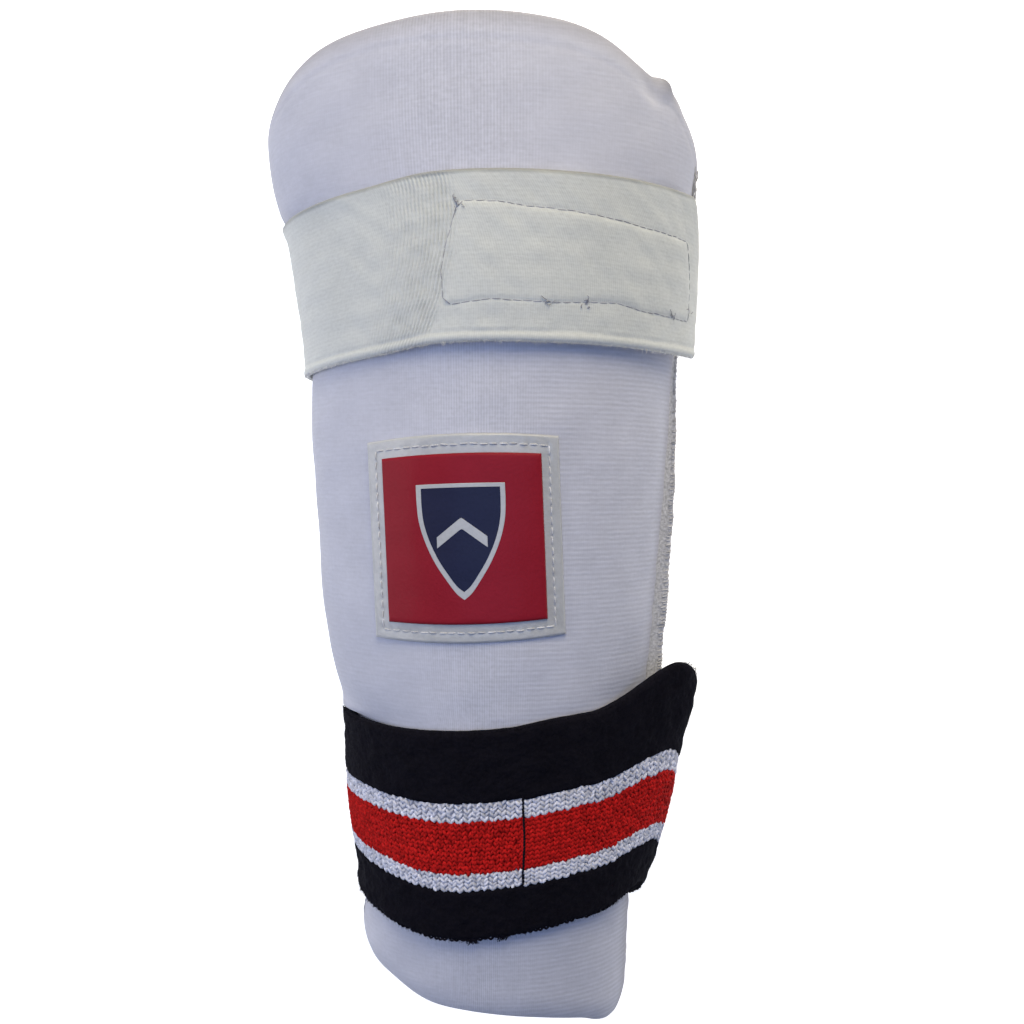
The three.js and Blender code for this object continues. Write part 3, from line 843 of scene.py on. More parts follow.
def strand_material(name, color, roughness, dark, light, shine=0.5):
    """Spun thread: each strand has its own shade, with a fine twist."""
    paint = Paint(name, color, roughness, on_cloth=False, Specular_IOR_Level=shine)
    fluff = paint.cloud(0.45, 3.0)
    mottle = paint.shade() * 0.75 + fluff * 0.25
    return paint.finished(paint.shaded(mottle, (0.1, dark), (0.9, light)), fluff, 0.15, 0.6)


def vinyl_material(name, color, roughness, shine, coat, speckle):
    """Smooth plastic with a faint grain, small rubbed marks and a clear top."""
    clear = {"Specular_IOR_Level": shine, "Coat_Weight": coat, "Coat_Roughness": 0.15}
    paint = Paint(name, color, roughness, on_cloth=False, **clear)
    mottle = paint.cloud(9.0, 4.0) * 0.6 + paint.cloud(0.9, 1.0) * 0.4
    return paint.finished(paint.shaded(mottle, (0.3, 1 - speckle), (0.7, 1 + speckle)), mottle, 0.35, 0.5)


def hook_material():
    """Moulded hook tape: rows of small hooks."""
    paint = Paint("hook_tape", HOOK_GREY, 0.5)
    hooks = paint.stripes(1.0, "X") * paint.stripes(1.2, "Y")
    color = paint.ramp(hooks, (0.1, (0.38, 0.38, 0.39)), (0.8, (0.62, 0.62, 0.63)))
    return paint.finished(color, hooks, 0.5)


# Pad

PAD_GRID = (175, 235)
PAD_EVENNESS = 0.35
PAD_LIP = 0.12
PAD_SWELLS = ((0.35, 70, 1), (0.10, 16, 2))
PAD_CREASE_INSET = 9.0
# The cover's bulge at the left rim, just above the band that grips it
SQUEEZE_Y = -52.5
SQUEEZE_REACH = 7
SQUEEZE = 3.6
# The gathered corner at the right of the upper end, and its dents by angle and by distance from the end
CORNER_ANGLE = 33
CORNER_DENTS = table("height angle breadth inset reach", (-1.0, 40, 7, 6.5, 5), (0.2, 35, 4, 12, 6))
# Trial of the cover as a cloth under pressure
TRIAL_GRID = (46, 72)
TRIAL_FRAMES = 20
TRIAL_LEAST_HOLD = 0.03
TRIAL_CAP = 2.2
TRIAL_SOFTENINGS = 3
TRIAL_CLOTH = {
    "quality": 6,
    "mass": 0.2,
    "tension_stiffness": 20,
    "compression_stiffness": 20,
    "bending_stiffness": 12,
    "use_pressure": True,
    "uniform_pressure_force": 4,
    "vertex_group_mass": "held",
    "pin_stiffness": 1,
}


def pad_skins(columns, rows):
    """Outer and inner skins of the pad at shares round it and along it, and facts about each place."""
    u, v = columns[:, None], rows[None, :]
    angle = 180 * u
    wrist, upper = curve(PAD_ENDS, "wrist", angle), curve(PAD_ENDS, "upper", angle)
    y = mix(wrist, upper, v)
    girth = math.pi * curve(PAD_SECTIONS, "ridge", y)
    facts = {
        "angle": np.broadcast_to(angle, y.shape),
        "y": y,
        "wrist": v * (upper - wrist),
        "upper": (1 - v) * (upper - wrist),
        "rim": np.minimum(u, 1 - u) * girth,
        "round": u * girth,
    }
    facts["end"] = np.minimum(facts["wrist"], facts["upper"])
    facts["edge"] = np.minimum(facts["end"], facts["rim"])
    full = fullness(facts["end"], PAD_EDGE_ROUND) * fullness(facts["rim"], PAD_EDGE_ROUND)
    thickness = mix(PAD_EDGE_THICKNESS, PAD_THICKNESS, full)
    middle = -(PAD_THICKNESS - thickness) / 2 - thickness / 2
    lip = mix(PAD_LIP, 1, fullness(facts["edge"], PAD_LIP_ROUND))
    at, out = arch(angle, y)
    outer = at + out * (middle + lip * thickness / 2)[..., None]
    inner = at + out * (middle - lip * thickness / 2)[..., None]
    return outer, inner, out, facts


def strap_cover(facts, margin):
    """1 where the strap lies on the pad."""
    middle = curve(STRAP_RUN, "middle", facts["angle"])
    return falling(np.abs(facts["y"] - middle), STRAP_WIDTH / 2, STRAP_WIDTH / 2 + margin)


def band_cover(facts, margin):
    """1 where the band lies on the pad."""
    low = BAND_LOW_Y + curve(BAND_FRONT_RISE, "low", facts["angle"])
    high = BAND_HIGH_Y + curve(BAND_FRONT_RISE, "high", facts["angle"])
    return smooth(facts["y"], low - margin, low) * falling(facts["y"], high, high + margin)


def label_cover(facts, margin):
    """1 where the label is sewn to the pad."""
    x = curve(PAD_SECTIONS, "right", facts["y"]) * np.cos(np.radians(facts["angle"]))
    half_x, half_y = (side / 2 for side in LABEL_BASE)
    across = falling(np.abs(x - LABEL_MIDDLE[0]), half_x, half_x + margin)
    return across * falling(np.abs(facts["y"] - LABEL_MIDDLE[1]), half_y, half_y + margin)


def drawn_in(facts):
    """1 along the arm where the frayed seam draws the rim in."""
    low, high = DRAWN_IN
    return smooth(facts["y"], low - 3, low + 6) * falling(facts["y"], high - 6, high + 4)


def swelling():
    """How far the cover lifts where it is free, from a cloth simulation of the pad's skins under pressure."""
    columns, rows = (np.linspace(0, 1, count) for count in TRIAL_GRID)
    outer, inner, out, facts = pad_skins(columns, rows)
    plain = bpy.data.materials.new("trial")
    trial = closed_sheet("cover_trial", outer, inner, 180 * columns, rows, plain)
    covers = (strap_cover(facts, 4), band_cover(facts, 4), label_cover(facts, 3))
    held = np.maximum.reduce([*covers, falling(facts["edge"], 2, 9)])
    weights = np.concatenate([np.maximum(held, TRIAL_LEAST_HOLD).ravel(), np.ones(held.size)])
    group = trial.vertex_groups.new(name="held")
    for index, weight in enumerate(weights):
        group.add([index], float(weight), "REPLACE")
    cloth = trial.modifiers.new("cloth", "CLOTH")
    for name, value in TRIAL_CLOTH.items():
        setattr(cloth.settings, name, value)
    cloth.settings.effector_weights.gravity = 0
    cloth.point_cache.frame_start = 1
    cloth.point_cache.frame_end = TRIAL_FRAMES
    for number in range(1, TRIAL_FRAMES + 1):
        bpy.context.scene.frame_set(number)
    posed = trial.evaluated_get(bpy.context.evaluated_depsgraph_get()).data
    found = np.zeros(len(posed.vertices) * 3, np.float32)
    posed.vertices.foreach_get("co", found)
    found = found.reshape(-1, 3)[: held.size].reshape(outer.shape) / MM + FOOTPRINT_MIDDLE
    lift = np.sum((found - outer) * out, -1)
    mesh = trial.data
    bpy.data.objects.remove(trial)
    bpy.data.meshes.remove(mesh)
    bpy.data.materials.remove(plain)
    bpy.context.scene.frame_set(1)
    return columns, rows, softened(np.clip(lift, -TRIAL_CAP, TRIAL_CAP), TRIAL_SOFTENINGS)


def softened(values, times):
    """A grid's values, each drawn towards its neighbours that many times."""
    for _ in range(times):
        wide = np.pad(values, 1, mode="edge")
        around = wide[:-2, 1:-1] + wide[2:, 1:-1] + wide[1:-1, :-2] + wide[1:-1, 2:]
        values = (around + 4 * values) / 8
    return values


def resampled(values, old, new):
    """A grid's first axis drawn smoothly through new places."""
    place = np.clip((new - old[0]) / (old[1] - old[0]), 0, len(old) - 1)
    i = np.clip(place.astype(int), 0, len(old) - 2)
    t = (place - i)[:, None]
    picks = [values[np.clip(i + k, 0, len(old) - 1)] for k in (-1, 0, 1, 2)]
    weights = (
        (-t + 2 * t**2 - t**3) / 2,
        (2 - 5 * t**2 + 3 * t**3) / 2,
        (t + 4 * t**2 - 3 * t**3) / 2,
        (-(t**2) + t**3) / 2,
    )
    return sum(weight * pick for weight, pick in zip(weights, picks))


def pad_relief(facts, lift):
    """Height of the cover over the pad's plain form."""
    angle, y, across = facts["angle"], facts["y"], facts["round"]
    upper, rim, edge = facts["upper"], facts["rim"], facts["edge"]
    bare = 1 - np.maximum(strap_cover(facts, 3), band_cover(facts, 3))
    free = bare * (1 - label_cover(facts, 3)) * smooth(edge, 0, 6)
    relief = lift * smooth(edge, 0, 5) + free * swells(across, y, *PAD_SWELLS)
    crease = bell(upper, PAD_CREASE_INSET + 1.2 * waves(across, y, 60, 3), 1.6)
    relief = relief - 0.10 * crease * smooth(rim, 4, 20)
    squeezed = bell(y, SQUEEZE_Y, SQUEEZE_REACH) * smooth(angle, 125, 165)
    relief = relief + SQUEEZE * squeezed * (1 - band_cover(facts, 1))
    puckers = waves(y, across * 0.15, 6.5, 4)
    relief = relief + 0.28 * puckers * bell(rim, 3.5, 5) * smooth(facts["end"], 0, 5) * bare
    gathered = bell(angle, CORNER_ANGLE, 8) * bell(upper, 3.5, 7)
    relief = relief + gathered * (0.9 + 0.6 * np.sin(angle * 0.62 + y * 0.3))
    for height, middle, breadth, inset, reach in zip(*CORNER_DENTS.values()):
        relief = relief + height * bell(angle, middle, breadth) * bell(upper, inset, reach)
    return relief - 0.6 * drawn_in(facts) * falling(angle, 6, 24)


def pad_painted_shade(facts):
    """Painted shade on the cover: greyest at its rolled ends and rims, in the gathered corner and where the
    frayed seam draws the rim in.
    """
    angle, upper, rim = facts["angle"], facts["upper"], facts["rim"]
    parts = (
        0.9 * falling(facts["end"], 0.2, 1.6),
        0.76 * falling(upper, 1.5, 7.5),
        0.7 * falling(rim, 6, 16),
        bell(angle, CORNER_ANGLE, 9) * falling(upper, 3, 9),
        bell(angle, 13, 10) * falling(upper, 4, 8),
        drawn_in(facts) * falling(rim, 6, 10),
    )
    return np.maximum.reduce(parts)


def level_rows(piece):
    """Run the rows of a piece's cloth straight across the arm."""
    mesh = piece.data
    corners = np.empty(len(mesh.loops), np.int32)
    mesh.loops.foreach_get("vertex_index", corners)
    points = np.empty(3 * len(mesh.vertices), np.float32)
    mesh.vertices.foreach_get("co", points)
    layer = mesh.uv_layers["cloth"].data
    spread = np.empty(2 * len(mesh.loops), np.float32)
    layer.foreach_get("uv", spread)
    spread[1::2] = points[1::3][corners] / MM
    layer.foreach_set("uv", spread)


def make_pad(material):
    columns, rows = (stations(count, PAD_EVENNESS) for count in PAD_GRID)
    outer, inner, out, facts = pad_skins(columns, rows)
    trial_columns, trial_rows, lift = swelling()
    lift = resampled(resampled(lift, trial_columns, columns).T, trial_rows, rows).T
    skin = outer + out * pad_relief(facts, lift)[..., None]
    around, along = facts["round"][:, PAD_GRID[1] // 2], facts["y"][PAD_GRID[0] // 2]
    # The shade attribute carries the cover's painted shade
    piece = closed_sheet("pad_cover", skin, inner, around, along, material, shade=pad_painted_shade(facts))
    level_rows(piece)
    return piece


# Elastic strap

STRAP_CRINKLE = 1.08
CRINKLE_START = 93.5
CRINKLE_LEAN = 0.37
CRINKLE_HEIGHT = 0.19
SELVEDGE = 2.4
STRAP_EDGE = 0.3
STRAP_EDGE_ROUND = 0.8
# The strap's grid has short steps where it is gathered
GATHERED_RUN = (74, 118)
STRAP_LONG_STEP = 1.1
STRAP_SHORT_STEP = 0.15
STRAP_LAST_STEPS = 80
STRAP_ROWS = 106
STRAP_DASH = {"dash": 2.4, "gap": 0.2, "sink": 0.10, "height": 0.06}
STRAP_END = {"length": 1.6, "spread": 1.4, "height": 0.4}
STRAP_HAIR = {"length": 0.9, "spread": 0.9, "height": 0.15}
STRAP_STRANDS = {"dash": 0.12, "end": 0.10, "hair": 0.045}
STRAP_HAIRS = 520
HAIR_RUN = (4, 150)
HOOK_GRID = (60, 20)
HOOK_BEND = 55


def strap_crinkle(along, across):
    """Fine gathers across the strap beside its hook patch, from -1 to 1, fading with distance."""
    beyond = along - CRINKLE_START + CRINKLE_LEAN * across
    fade = smooth(beyond, -2, 2) * falling(beyond, 6, 26)
    bend = 0.3 * waves(along * 0.2, across, 9, 11)
    uneven = 0.8 + 0.35 * waves(along * 0.7, across, 3.5, 12)
    return fade * uneven * np.sin(2 * math.pi * (beyond + bend) / STRAP_CRINKLE)


def strap_relief(along, across):
    """Height of the strap's face over its plain thickness."""
    inside = smooth(across, 0, 0.9) * smooth(STRAP_WIDTH - across, 0, 0.9)
    plain = smooth(across, SELVEDGE, SELVEDGE + 1) * smooth(STRAP_WIDTH - across, 0.4, 1.2)
    rolled = 0.26 * bell(across, SELVEDGE / 2, SELVEDGE * 0.8) - 0.16 * bell(across, SELVEDGE + 0.3, 0.8)
    left = curve(PATCH_LEFT, "along", across) - along
    over = across - curve(PATCH_LOW, "across", along)
    under = curve(PATCH_HIGH, "across", along) - across
    edge = least(left, along - PATCH_RIGHT, over, under)
    patch = 0.3 * smooth(edge, -1.0, 2.2) - 0.16 * bell(edge, 0, 0.7)
    crinkle = CRINKLE_HEIGHT * strap_crinkle(along, across) * plain
    swell = 0.22 * waves(along, across * 0.6, 24, 13) + 0.10 * waves(along, across, 7, 14)
    return inside * (rolled + crinkle + swell * plain) + patch


def make_strap(surface, material):
    low, high = GATHERED_RUN
    before, gathered = np.arange(0, low, STRAP_LONG_STEP), np.arange(low, high, STRAP_SHORT_STEP)
    along = np.concatenate([before, gathered, np.linspace(high, surface.length, STRAP_LAST_STEPS)])
    across = np.linspace(0, STRAP_WIDTH, STRAP_ROWS)
    s, w = along[:, None], across[None, :]
    edge = least(w, STRAP_WIDTH - w, s, surface.length - s)
    half = STRAP_THICKNESS / 2 * mix(STRAP_EDGE, 1, fullness(edge, STRAP_EDGE_ROUND))
    outer = surface.at(s, w / STRAP_WIDTH, half + strap_relief(s, w))
    inner = surface.at(s, w / STRAP_WIDTH, -half)
    # Painted shade: greyer along the upper edge and in the grooves of the gathers
    edge_and_gather_shade = np.maximum(falling(STRAP_WIDTH - w, 0.3, 1.5), -0.56 * strap_crinkle(s, w))
    return closed_sheet("strap_web", outer, inner, along, across, material, shade=edge_and_gather_shade)


def strap_places(surface):
    """Finds places on the strap's face by length along it, width across it and height over it."""

    def locate(x, y, depth):
        return surface.at(x, y / STRAP_WIDTH, STRAP_THICKNESS / 2 + strap_relief(x, y) + depth)

    return locate


def make_strap_stitches(surface, material):
    lines = (PATCH_LOW, PATCH_LEFT, PATCH_HIGH)
    low, left, high = (list(zip(line["along"], line["across"])) for line in lines)
    corners = low + left + high[::-1] + [(PATCH_RIGHT, PATCH_RIGHT_ACROSS)] + low[:1]
    line = dashes(strap_places(surface), corners, **STRAP_DASH)
    return tubes("strap_stitches", line, STRAP_STRANDS["dash"], material, 5)


def make_strap_ends(surface, material):
    starts = [
        (along + rng.normal(0, 0.7), across + rng.normal(0, 0.5), rng.uniform(0, 360))
        for along, across, count in zip(*PATCH_KNOTS.values())
        for _ in range(int(count))
    ]
    ends = loose_ends(strap_places(surface), starts, **STRAP_END)
    return tubes("strap_thread_ends", ends, STRAP_STRANDS["end"], material, 5)


def make_strap_fuzz(surface, material):
    """Hairs along the strap's lower edge, over the front."""
    along = rng.uniform(*HAIR_RUN, STRAP_HAIRS)
    headings = rng.normal(270, 45, STRAP_HAIRS)
    starts = list(zip(along, rng.uniform(0.1, 0.5, STRAP_HAIRS), headings))
    hairs = loose_ends(strap_places(surface), starts, **STRAP_HAIR)
    return tubes("strap_fuzz", hairs, STRAP_STRANDS["hair"], material, 3)


def make_hook_tape(material):
    angles = np.linspace(*HOOK_ANGLES, HOOK_GRID[0])[:, None]
    across = np.linspace(-0.5, 0.5, HOOK_GRID[1]) * HOOK_WIDTH
    at, out = arch(angles, HOOK_MIDDLE_Y + across + 0 * angles)
    along = np.radians(angles[:, 0]) * HOOK_BEND
    outer, inner = at + out * (GAP + HOOK_THICKNESS), at + out * GAP
    return closed_sheet("hook_tape", outer, inner, along, across, material)


# Knitted band

BAND_COLUMNS = 330
# Shares across the band: narrow steps at its edges and even ones between
BAND_EDGE_STEPS = (0, 0.006, 0.014)
BAND_INNER = 0.026
BAND_INNER_STEPS = 92
BAND_EDGE_ROUND = 1.4
BAND_RAGS = ((0.35, 5, 24), (0.2, 2.2, 25))
PILE_SWELLS = ((0.16, 2.4, 22, 30), (0.22, 6, 23, 20))
STRIPES_SINK = 0.3
LEG_POINTS = 5
# Stitches to the left and right of the seam: how uneven they are, and how thick
LEG_UNEVENNESS = (1.0, 0.5)
LEG_RADII = (0.46, 0.51)
SEAM_CLEARANCE = 0.2
FIBRES = {"field": 4200, "edge": 2200}
FIBRE_POINTS = 3
FIBRE_RADIUS = 0.055
BAND_SEAM_TURNS = 34
BAND_SEAM_POINTS = 70
BAND_SEAM_RADIUS = 0.24
EDGE_LOOP_POINTS = 7
EDGE_LOOP_RADIUS = 0.34
TUFTS = 90
TUFT_POINTS = 6
TUFT_RADIUS = 0.13
# Two groups of tufts: the middle and spread of each, as shares of their run
TUFT_GROUPS = ((0.12, 0.07), (0.9, 0.08))


def band_height(along, share):
    """Height of the band's ground over its plain thickness: raised brushed pile, sunk behind the stripes."""
    low, high = BAND_STRIPES
    ragged = 0.004 * waves(along, 0, 3.5, 21)
    striped = smooth(share, low - 0.012 + ragged, low + 0.004 + ragged)
    striped = striped * falling(share, high - 0.004 + ragged, high + 0.012 + ragged)
    pile = (BAND_PILE_THICKNESS - BAND_STRIPE_THICKNESS) * (1 - striped) - STRIPES_SINK * striped
    ribs = 0.08 * np.cos(2 * math.pi * along / EDGE_LOOP)
    return pile + (1 - striped) * (swells(along, share * BAND_WIDTH, *PILE_SWELLS) + ribs)


def make_band(surface, material):
    along = np.linspace(0, surface.length, BAND_COLUMNS + 1)
    low_edge = np.array(BAND_EDGE_STEPS)
    inside = np.linspace(BAND_INNER, 1 - BAND_INNER, BAND_INNER_STEPS)
    share = np.concatenate([low_edge, inside, 1 - low_edge[::-1]])
    s, v = along[:-1, None], share[None, :]
    edge = np.minimum(v, 1 - v) * BAND_WIDTH
    tuck = mix(v, 0.5, 0.004 * swells(s, 0, *BAND_RAGS) * np.sign(v - 0.5) * (edge < 2))
    round_off = fullness(edge + 0.05, BAND_EDGE_ROUND)
    half = BAND_STRIPE_THICKNESS / 2
    outer = surface.at(s, tuck, -half + round_off * (2 * half + band_height(s, v)) + 0.25 * (1 - round_off))
    inner = surface.at(s, tuck, -half)
    return closed_sheet("band_ground", outer, inner, along, share * BAND_WIDTH, material, loop=True)


def make_stitches(surface, seam_at):
    """Legs of the knitted stitches: two to a column and row, leaning wide apart as the band is stretched."""
    t = np.linspace(0, 1, LEG_POINTS)
    legs = {"white": [], "red": []}
    thick = {"white": [], "red": []}
    for color, low, high, count, width in zip(("white", "red", "white"), *KNIT_ROWS.values()):
        columns = round(surface.length / width)
        pitch = surface.length / columns
        step = (high - low) / count
        grid = np.meshgrid(np.arange(columns), np.arange(int(count)), [-1, 1], indexing="ij")
        column, row, hand = (part.reshape(-1, 1) for part in grid)
        shape = column.shape
        middle = (column + 0.5) * pitch
        loose = np.where(middle > seam_at, *LEG_UNEVENNESS)
        s = middle + rng.normal(0, 0.14, shape) * loose + hand * (0.05 + 0.41 * t) * pitch
        v = low + (row + rng.normal(0, 0.12, shape) * loose - 0.05 + 1.1 * t) * step
        v = v + 0.004 * waves(middle, 0, 9, 26)
        depth = (0.30 + rng.normal(0, 0.10, shape) * loose) * np.sin(math.pi * (0.12 + 0.76 * t))
        radius = np.where(middle > seam_at, *LEG_RADII) * rng.uniform(0.88, 1.12, shape) * YARN[color]
        clear = np.abs(middle - seam_at)[:, 0] > SEAM_CLEARANCE
        legs[color].append(surface.at(s, v, BAND_STRIPE_THICKNESS / 2 + depth - STRIPES_SINK)[clear])
        thick[color].append((radius * (0.75 + 0.25 * np.sin(math.pi * t)))[clear])
    return {color: (np.concatenate(legs[color]), np.concatenate(thick[color])) for color in legs}


def make_fibres(surface, material):
    """Short hairs of the brushed pile, thicker along the band's two edges."""
    low, high = BAND_STRIPES
    share = rng.uniform(0, low + 1 - high, FIBRES["field"])
    share = np.where(share < low, share, share + high - low)
    ends = np.where(rng.uniform(0, 1, FIBRES["edge"]) < 0.5, 0.004, 0.996)
    share = np.concatenate([share, ends])[:, None]
    s = rng.uniform(0, surface.length, share.shape)
    t = np.linspace(0, 1, FIBRE_POINTS)
    heading = rng.uniform(0, 2 * math.pi, share.shape)
    lie = rng.uniform(0.3, 0.9, share.shape)
    stand = rng.uniform(0.2, 0.6, share.shape)
    at_edge = np.where(share > 0.5, 1, -1) * (np.abs(share - 0.5) > 0.49)
    side = lie * np.sin(heading) + at_edge * 0.35
    v = share + side * t / BAND_WIDTH
    along = s + lie * np.cos(heading) * t
    inside = np.clip(v, 0, 1)
    base = BAND_STRIPE_THICKNESS / 2 + band_height(s, share) - 0.5 * np.abs(at_edge)
    points = surface.at(along, inside, base - 0.15 + stand * np.sin(math.pi * 0.6 * t))
    points[..., 1] += (v - inside) * BAND_WIDTH
    radius = FIBRE_RADIUS * (1.05 - t)[None, :] * rng.uniform(0.7, 1.3, share.shape)
    return tubes("band_fibres", points, radius, material, 3)


def make_band_seam(surface, seam_at, material):
    """The dark thread that joins the band's ends, down the stripes."""
    low, high = BAND_STRIPES
    v = np.linspace(low - 0.004, high + 0.012, BAND_SEAM_POINTS)[None, :]
    wander = 0.45 * waves(v * BAND_WIDTH, 0, 18, 27)
    lines = []
    for phase in (0, math.pi):
        turn = BAND_SEAM_TURNS * 2 * math.pi * v + phase
        s = seam_at + 0.22 * np.sin(turn) + wander
        lines.append(surface.at(s, v, BAND_STRIPE_THICKNESS / 2 + 0.3 + 0.12 * np.cos(turn)))
    return tubes("band_seam", np.concatenate(lines), BAND_SEAM_RADIUS, material, 6, np.array([0.2, 0.4]))


def make_edge_loops(surface, material):
    """The last row of loops, ragged along the band's lower edge."""
    count = round(surface.length / EDGE_LOOP)
    t = np.linspace(0, 1, EDGE_LOOP_POINTS)[None, :]
    s = (np.arange(count)[:, None] + 0.5 + rng.normal(0, 0.12, (count, 1))) * surface.length / count
    s = s + (t - 0.5) * EDGE_LOOP * 0.9
    arc = np.sin(math.pi * t)
    paths = surface.at(s, 0.006, BAND_STRIPE_THICKNESS / 2 - 0.6 + 0.3 * arc)
    paths[..., 1] -= rng.uniform(0.15, 0.6, (count, 1)) * arc
    return tubes("band_edge_loops", paths, EDGE_LOOP_RADIUS, material)


def make_tufts(surface, material):
    """Pulled tufts of yarn at the band's lower edge, between two angles round the pad."""
    shape = (TUFTS, 1)
    low, high = (angle_length(surface, angle) for angle in TUFT_ANGLES)
    first = rng.uniform(0, 1, shape) < 0.5
    place = np.where(first, *(rng.normal(*group, shape) for group in TUFT_GROUPS))
    t = np.linspace(0, 1, TUFT_POINTS)[None, :]
    s = mix(low, high, place) + rng.normal(0, 0.9, shape) * t
    points = surface.at(s, 0.004, 0.2 + rng.uniform(0, 0.9, shape) * np.sin(math.pi * 0.7 * t))
    points[..., 1] -= rng.uniform(0.4, 1.7, shape) * np.sin(math.pi * 0.55 * t)
    return tubes("band_tufts", points, TUFT_RADIUS * (1.15 - t), material, 4)


# Label

LABEL_POINTS = 78
LABEL_EDGE = 0.35
LABEL_EDGE_ROUND = 0.6
LABEL_RIPPLES = ((0.12, 11, 31), (0.05, 4, 32))
LABEL_STITCH_INSET = 2.7
LABEL_STITCH = 2.6
LABEL_DASH = {"dash": 2.1, "gap": 0.5, "sink": 0.12, "height": 0.2}
LABEL_STRAND = 0.2
PRINT_EDGE = 0.985
PRINT_SINK = 0.1
CHEVRON = {"half": 6.6, "peak": 4.2, "slope": 0.75, "thickness": 2.8, "lift": 0.1}
SHIELD_OUTLINE = {"half_width": 11.6, "height": 29.6, "low": -15.4, "lift": 0.03}
SHIELD_FACE = {"half_width": 10.3, "height": 26.6, "low": -13.4, "lift": 0.06}
SHIELD_ROWS = 60
SHIELD_COLUMNS = 31
CHEVRON_COLUMNS = 41
CHEVRON_ROWS = (-0.5, -0.47, 0, 0.47, 0.5)
SHIELD = table(
    "height half",
    (0, 0.0),
    (0.05, 0.16),
    (0.16, 0.37),
    (0.32, 0.63),
    (0.5, 0.84),
    (0.68, 0.965),
    (0.84, 1.0),
    (1, 1.0),
)


def inside_edge(size, x, y):
    """How far places on a plate of the label are from its nearest edge."""
    return np.minimum(size[0] / 2 - np.abs(x), size[1] / 2 - np.abs(y))


def label_sheet(name, size, low, thickness, relief, material):
    """A thin plate on the label with soft corners. relief gives the height of its face."""
    share = stations(LABEL_POINTS, 0.5)
    x, y = np.meshgrid((0.5 - share) * size[0], (share - 0.5) * size[1], indexing="ij")
    rounded = mix(LABEL_EDGE, 1, fullness(inside_edge(size, x, y), LABEL_EDGE_ROUND))
    face = label_places(x, y, low + thickness * rounded + relief(x, y))
    return closed_sheet(name, face, label_places(x, y, low), share * size[0], share * size[1], material)


def base_relief(x, y):
    edge = inside_edge(LABEL_BASE, x, y)
    run = np.where(LABEL_BASE[0] / 2 - np.abs(x) < LABEL_BASE[1] / 2 - np.abs(y), y, x)
    pucker = np.cos(2 * math.pi * run / LABEL_STITCH) + 0.8 * waves(x, y, 3, 34)
    groove = (0.12 + 0.09 * pucker) * bell(edge, LABEL_STITCH_INSET, 0.9)
    return swells(x, y, *LABEL_RIPPLES) * smooth(edge, 0, 1.5) - groove


def panel_relief(x, y):
    edge = inside_edge(LABEL_PANEL, x, y)
    return 0.10 * waves(x, y, 15, 33) * smooth(edge, 0, 2) + 0.25 * fullness(edge, 1.5)


def make_label_stitches(material):
    def locate(x, y, depth):
        return label_places(x, y, GAP + LABEL_BASE_THICKNESS + base_relief(x, y) + depth)

    half_x, half_y = (side / 2 - LABEL_STITCH_INSET for side in LABEL_BASE)
    corners = [(-half_x, -half_y), (half_x, -half_y), (half_x, half_y), (-half_x, half_y), (-half_x, -half_y)]
    line = dashes(locate, corners, **LABEL_DASH)
    return tubes("label_stitches", line, LABEL_STRAND, material)


def print_columns(count):
    """Places across a print from 1 to -1, with a short step at both ends."""
    return np.concatenate([[1], np.linspace(PRINT_EDGE, -PRINT_EDGE, count), [-1]])[:, None]


def printed(name, x, y, lift, sink, along, across, material):
    """A shape printed on the label's panel."""
    face = GAP * 2 + LABEL_BASE_THICKNESS + LABEL_PANEL_THICKNESS + panel_relief(x, y)
    outer, inner = label_places(x, y, face + lift), label_places(x, y, face - sink)
    return closed_sheet(name, outer, inner, along, across, material)


def make_shield(name, material, half_width, height, low, lift):
    """A plain shield."""
    rows = np.concatenate([np.linspace(0, 0.995, SHIELD_ROWS), [1]])[None, :]
    columns = print_columns(SHIELD_COLUMNS)
    x = columns * curve(SHIELD, "half", rows) * half_width
    y = low + rows * height + 0 * columns
    return printed(name, x, y, lift, PRINT_SINK, columns[:, 0] * half_width, rows[0] * height, material)


def make_chevron(material):
    """A plain chevron across the shield."""
    columns = CHEVRON["half"] * print_columns(CHEVRON_COLUMNS)
    across = np.array(CHEVRON_ROWS) * CHEVRON["thickness"]
    x = columns + 0 * across
    y = CHEVRON["peak"] - CHEVRON["slope"] * np.sqrt(x**2 + 0.05) + across
    return printed("chevron", x, y, CHEVRON["lift"], 0, columns[:, 0], across, material)


# Side seams

OUTWARD = {"left": -1, "right": 1}
FLANGE_GRID = (320, 18)
FLANGE_EDGE_ROUND = 0.75
FLANGE_WAVES = ((0.25, 12, 41), (0.12, 3.4, 42))
OVERLOCK_POINTS = 10
RAGGED_POINTS = 48
RAGGED_APART = 9.0
RAGGED_DEPTH = 1.2
SEAM_STRAND = 0.17


def flange_run(side):
    """Where a flange starts and ends along the arm."""
    which = 0 if side == "right" else -1
    return PAD_ENDS["wrist"][which] + SEAM_END_INSET, PAD_ENDS["upper"][which] - SEAM_END_INSET


def flange_sides(side, y):
    """Where a flange leaves the pad's side, its outer edge, its sway up and down, and its slope's height."""
    low, high = flange_run(side)
    rounded = fullness(np.minimum(y - low, high - y) + 0.2, SEAM_END_ROUND)
    inner = curve(PAD_SECTIONS, side, y) - SEAM_TUCK
    outer = inner + SEAM_TUCK + curve(SEAM_WIDTHS, side, y) + swells(y, 0, *FLANGE_WAVES)
    return inner, mix(inner, outer, rounded), 0.25 * waves(y, 0, 9, 43), SEAM_SLOPE * rounded


def flange_top(share, sway, slope):
    """Height of a flange's upper face, which slopes up to the pad's side."""
    return SEAM_HEIGHT + sway * smooth(share, 0.4, 1) + slope * (1 - share) ** 1.3


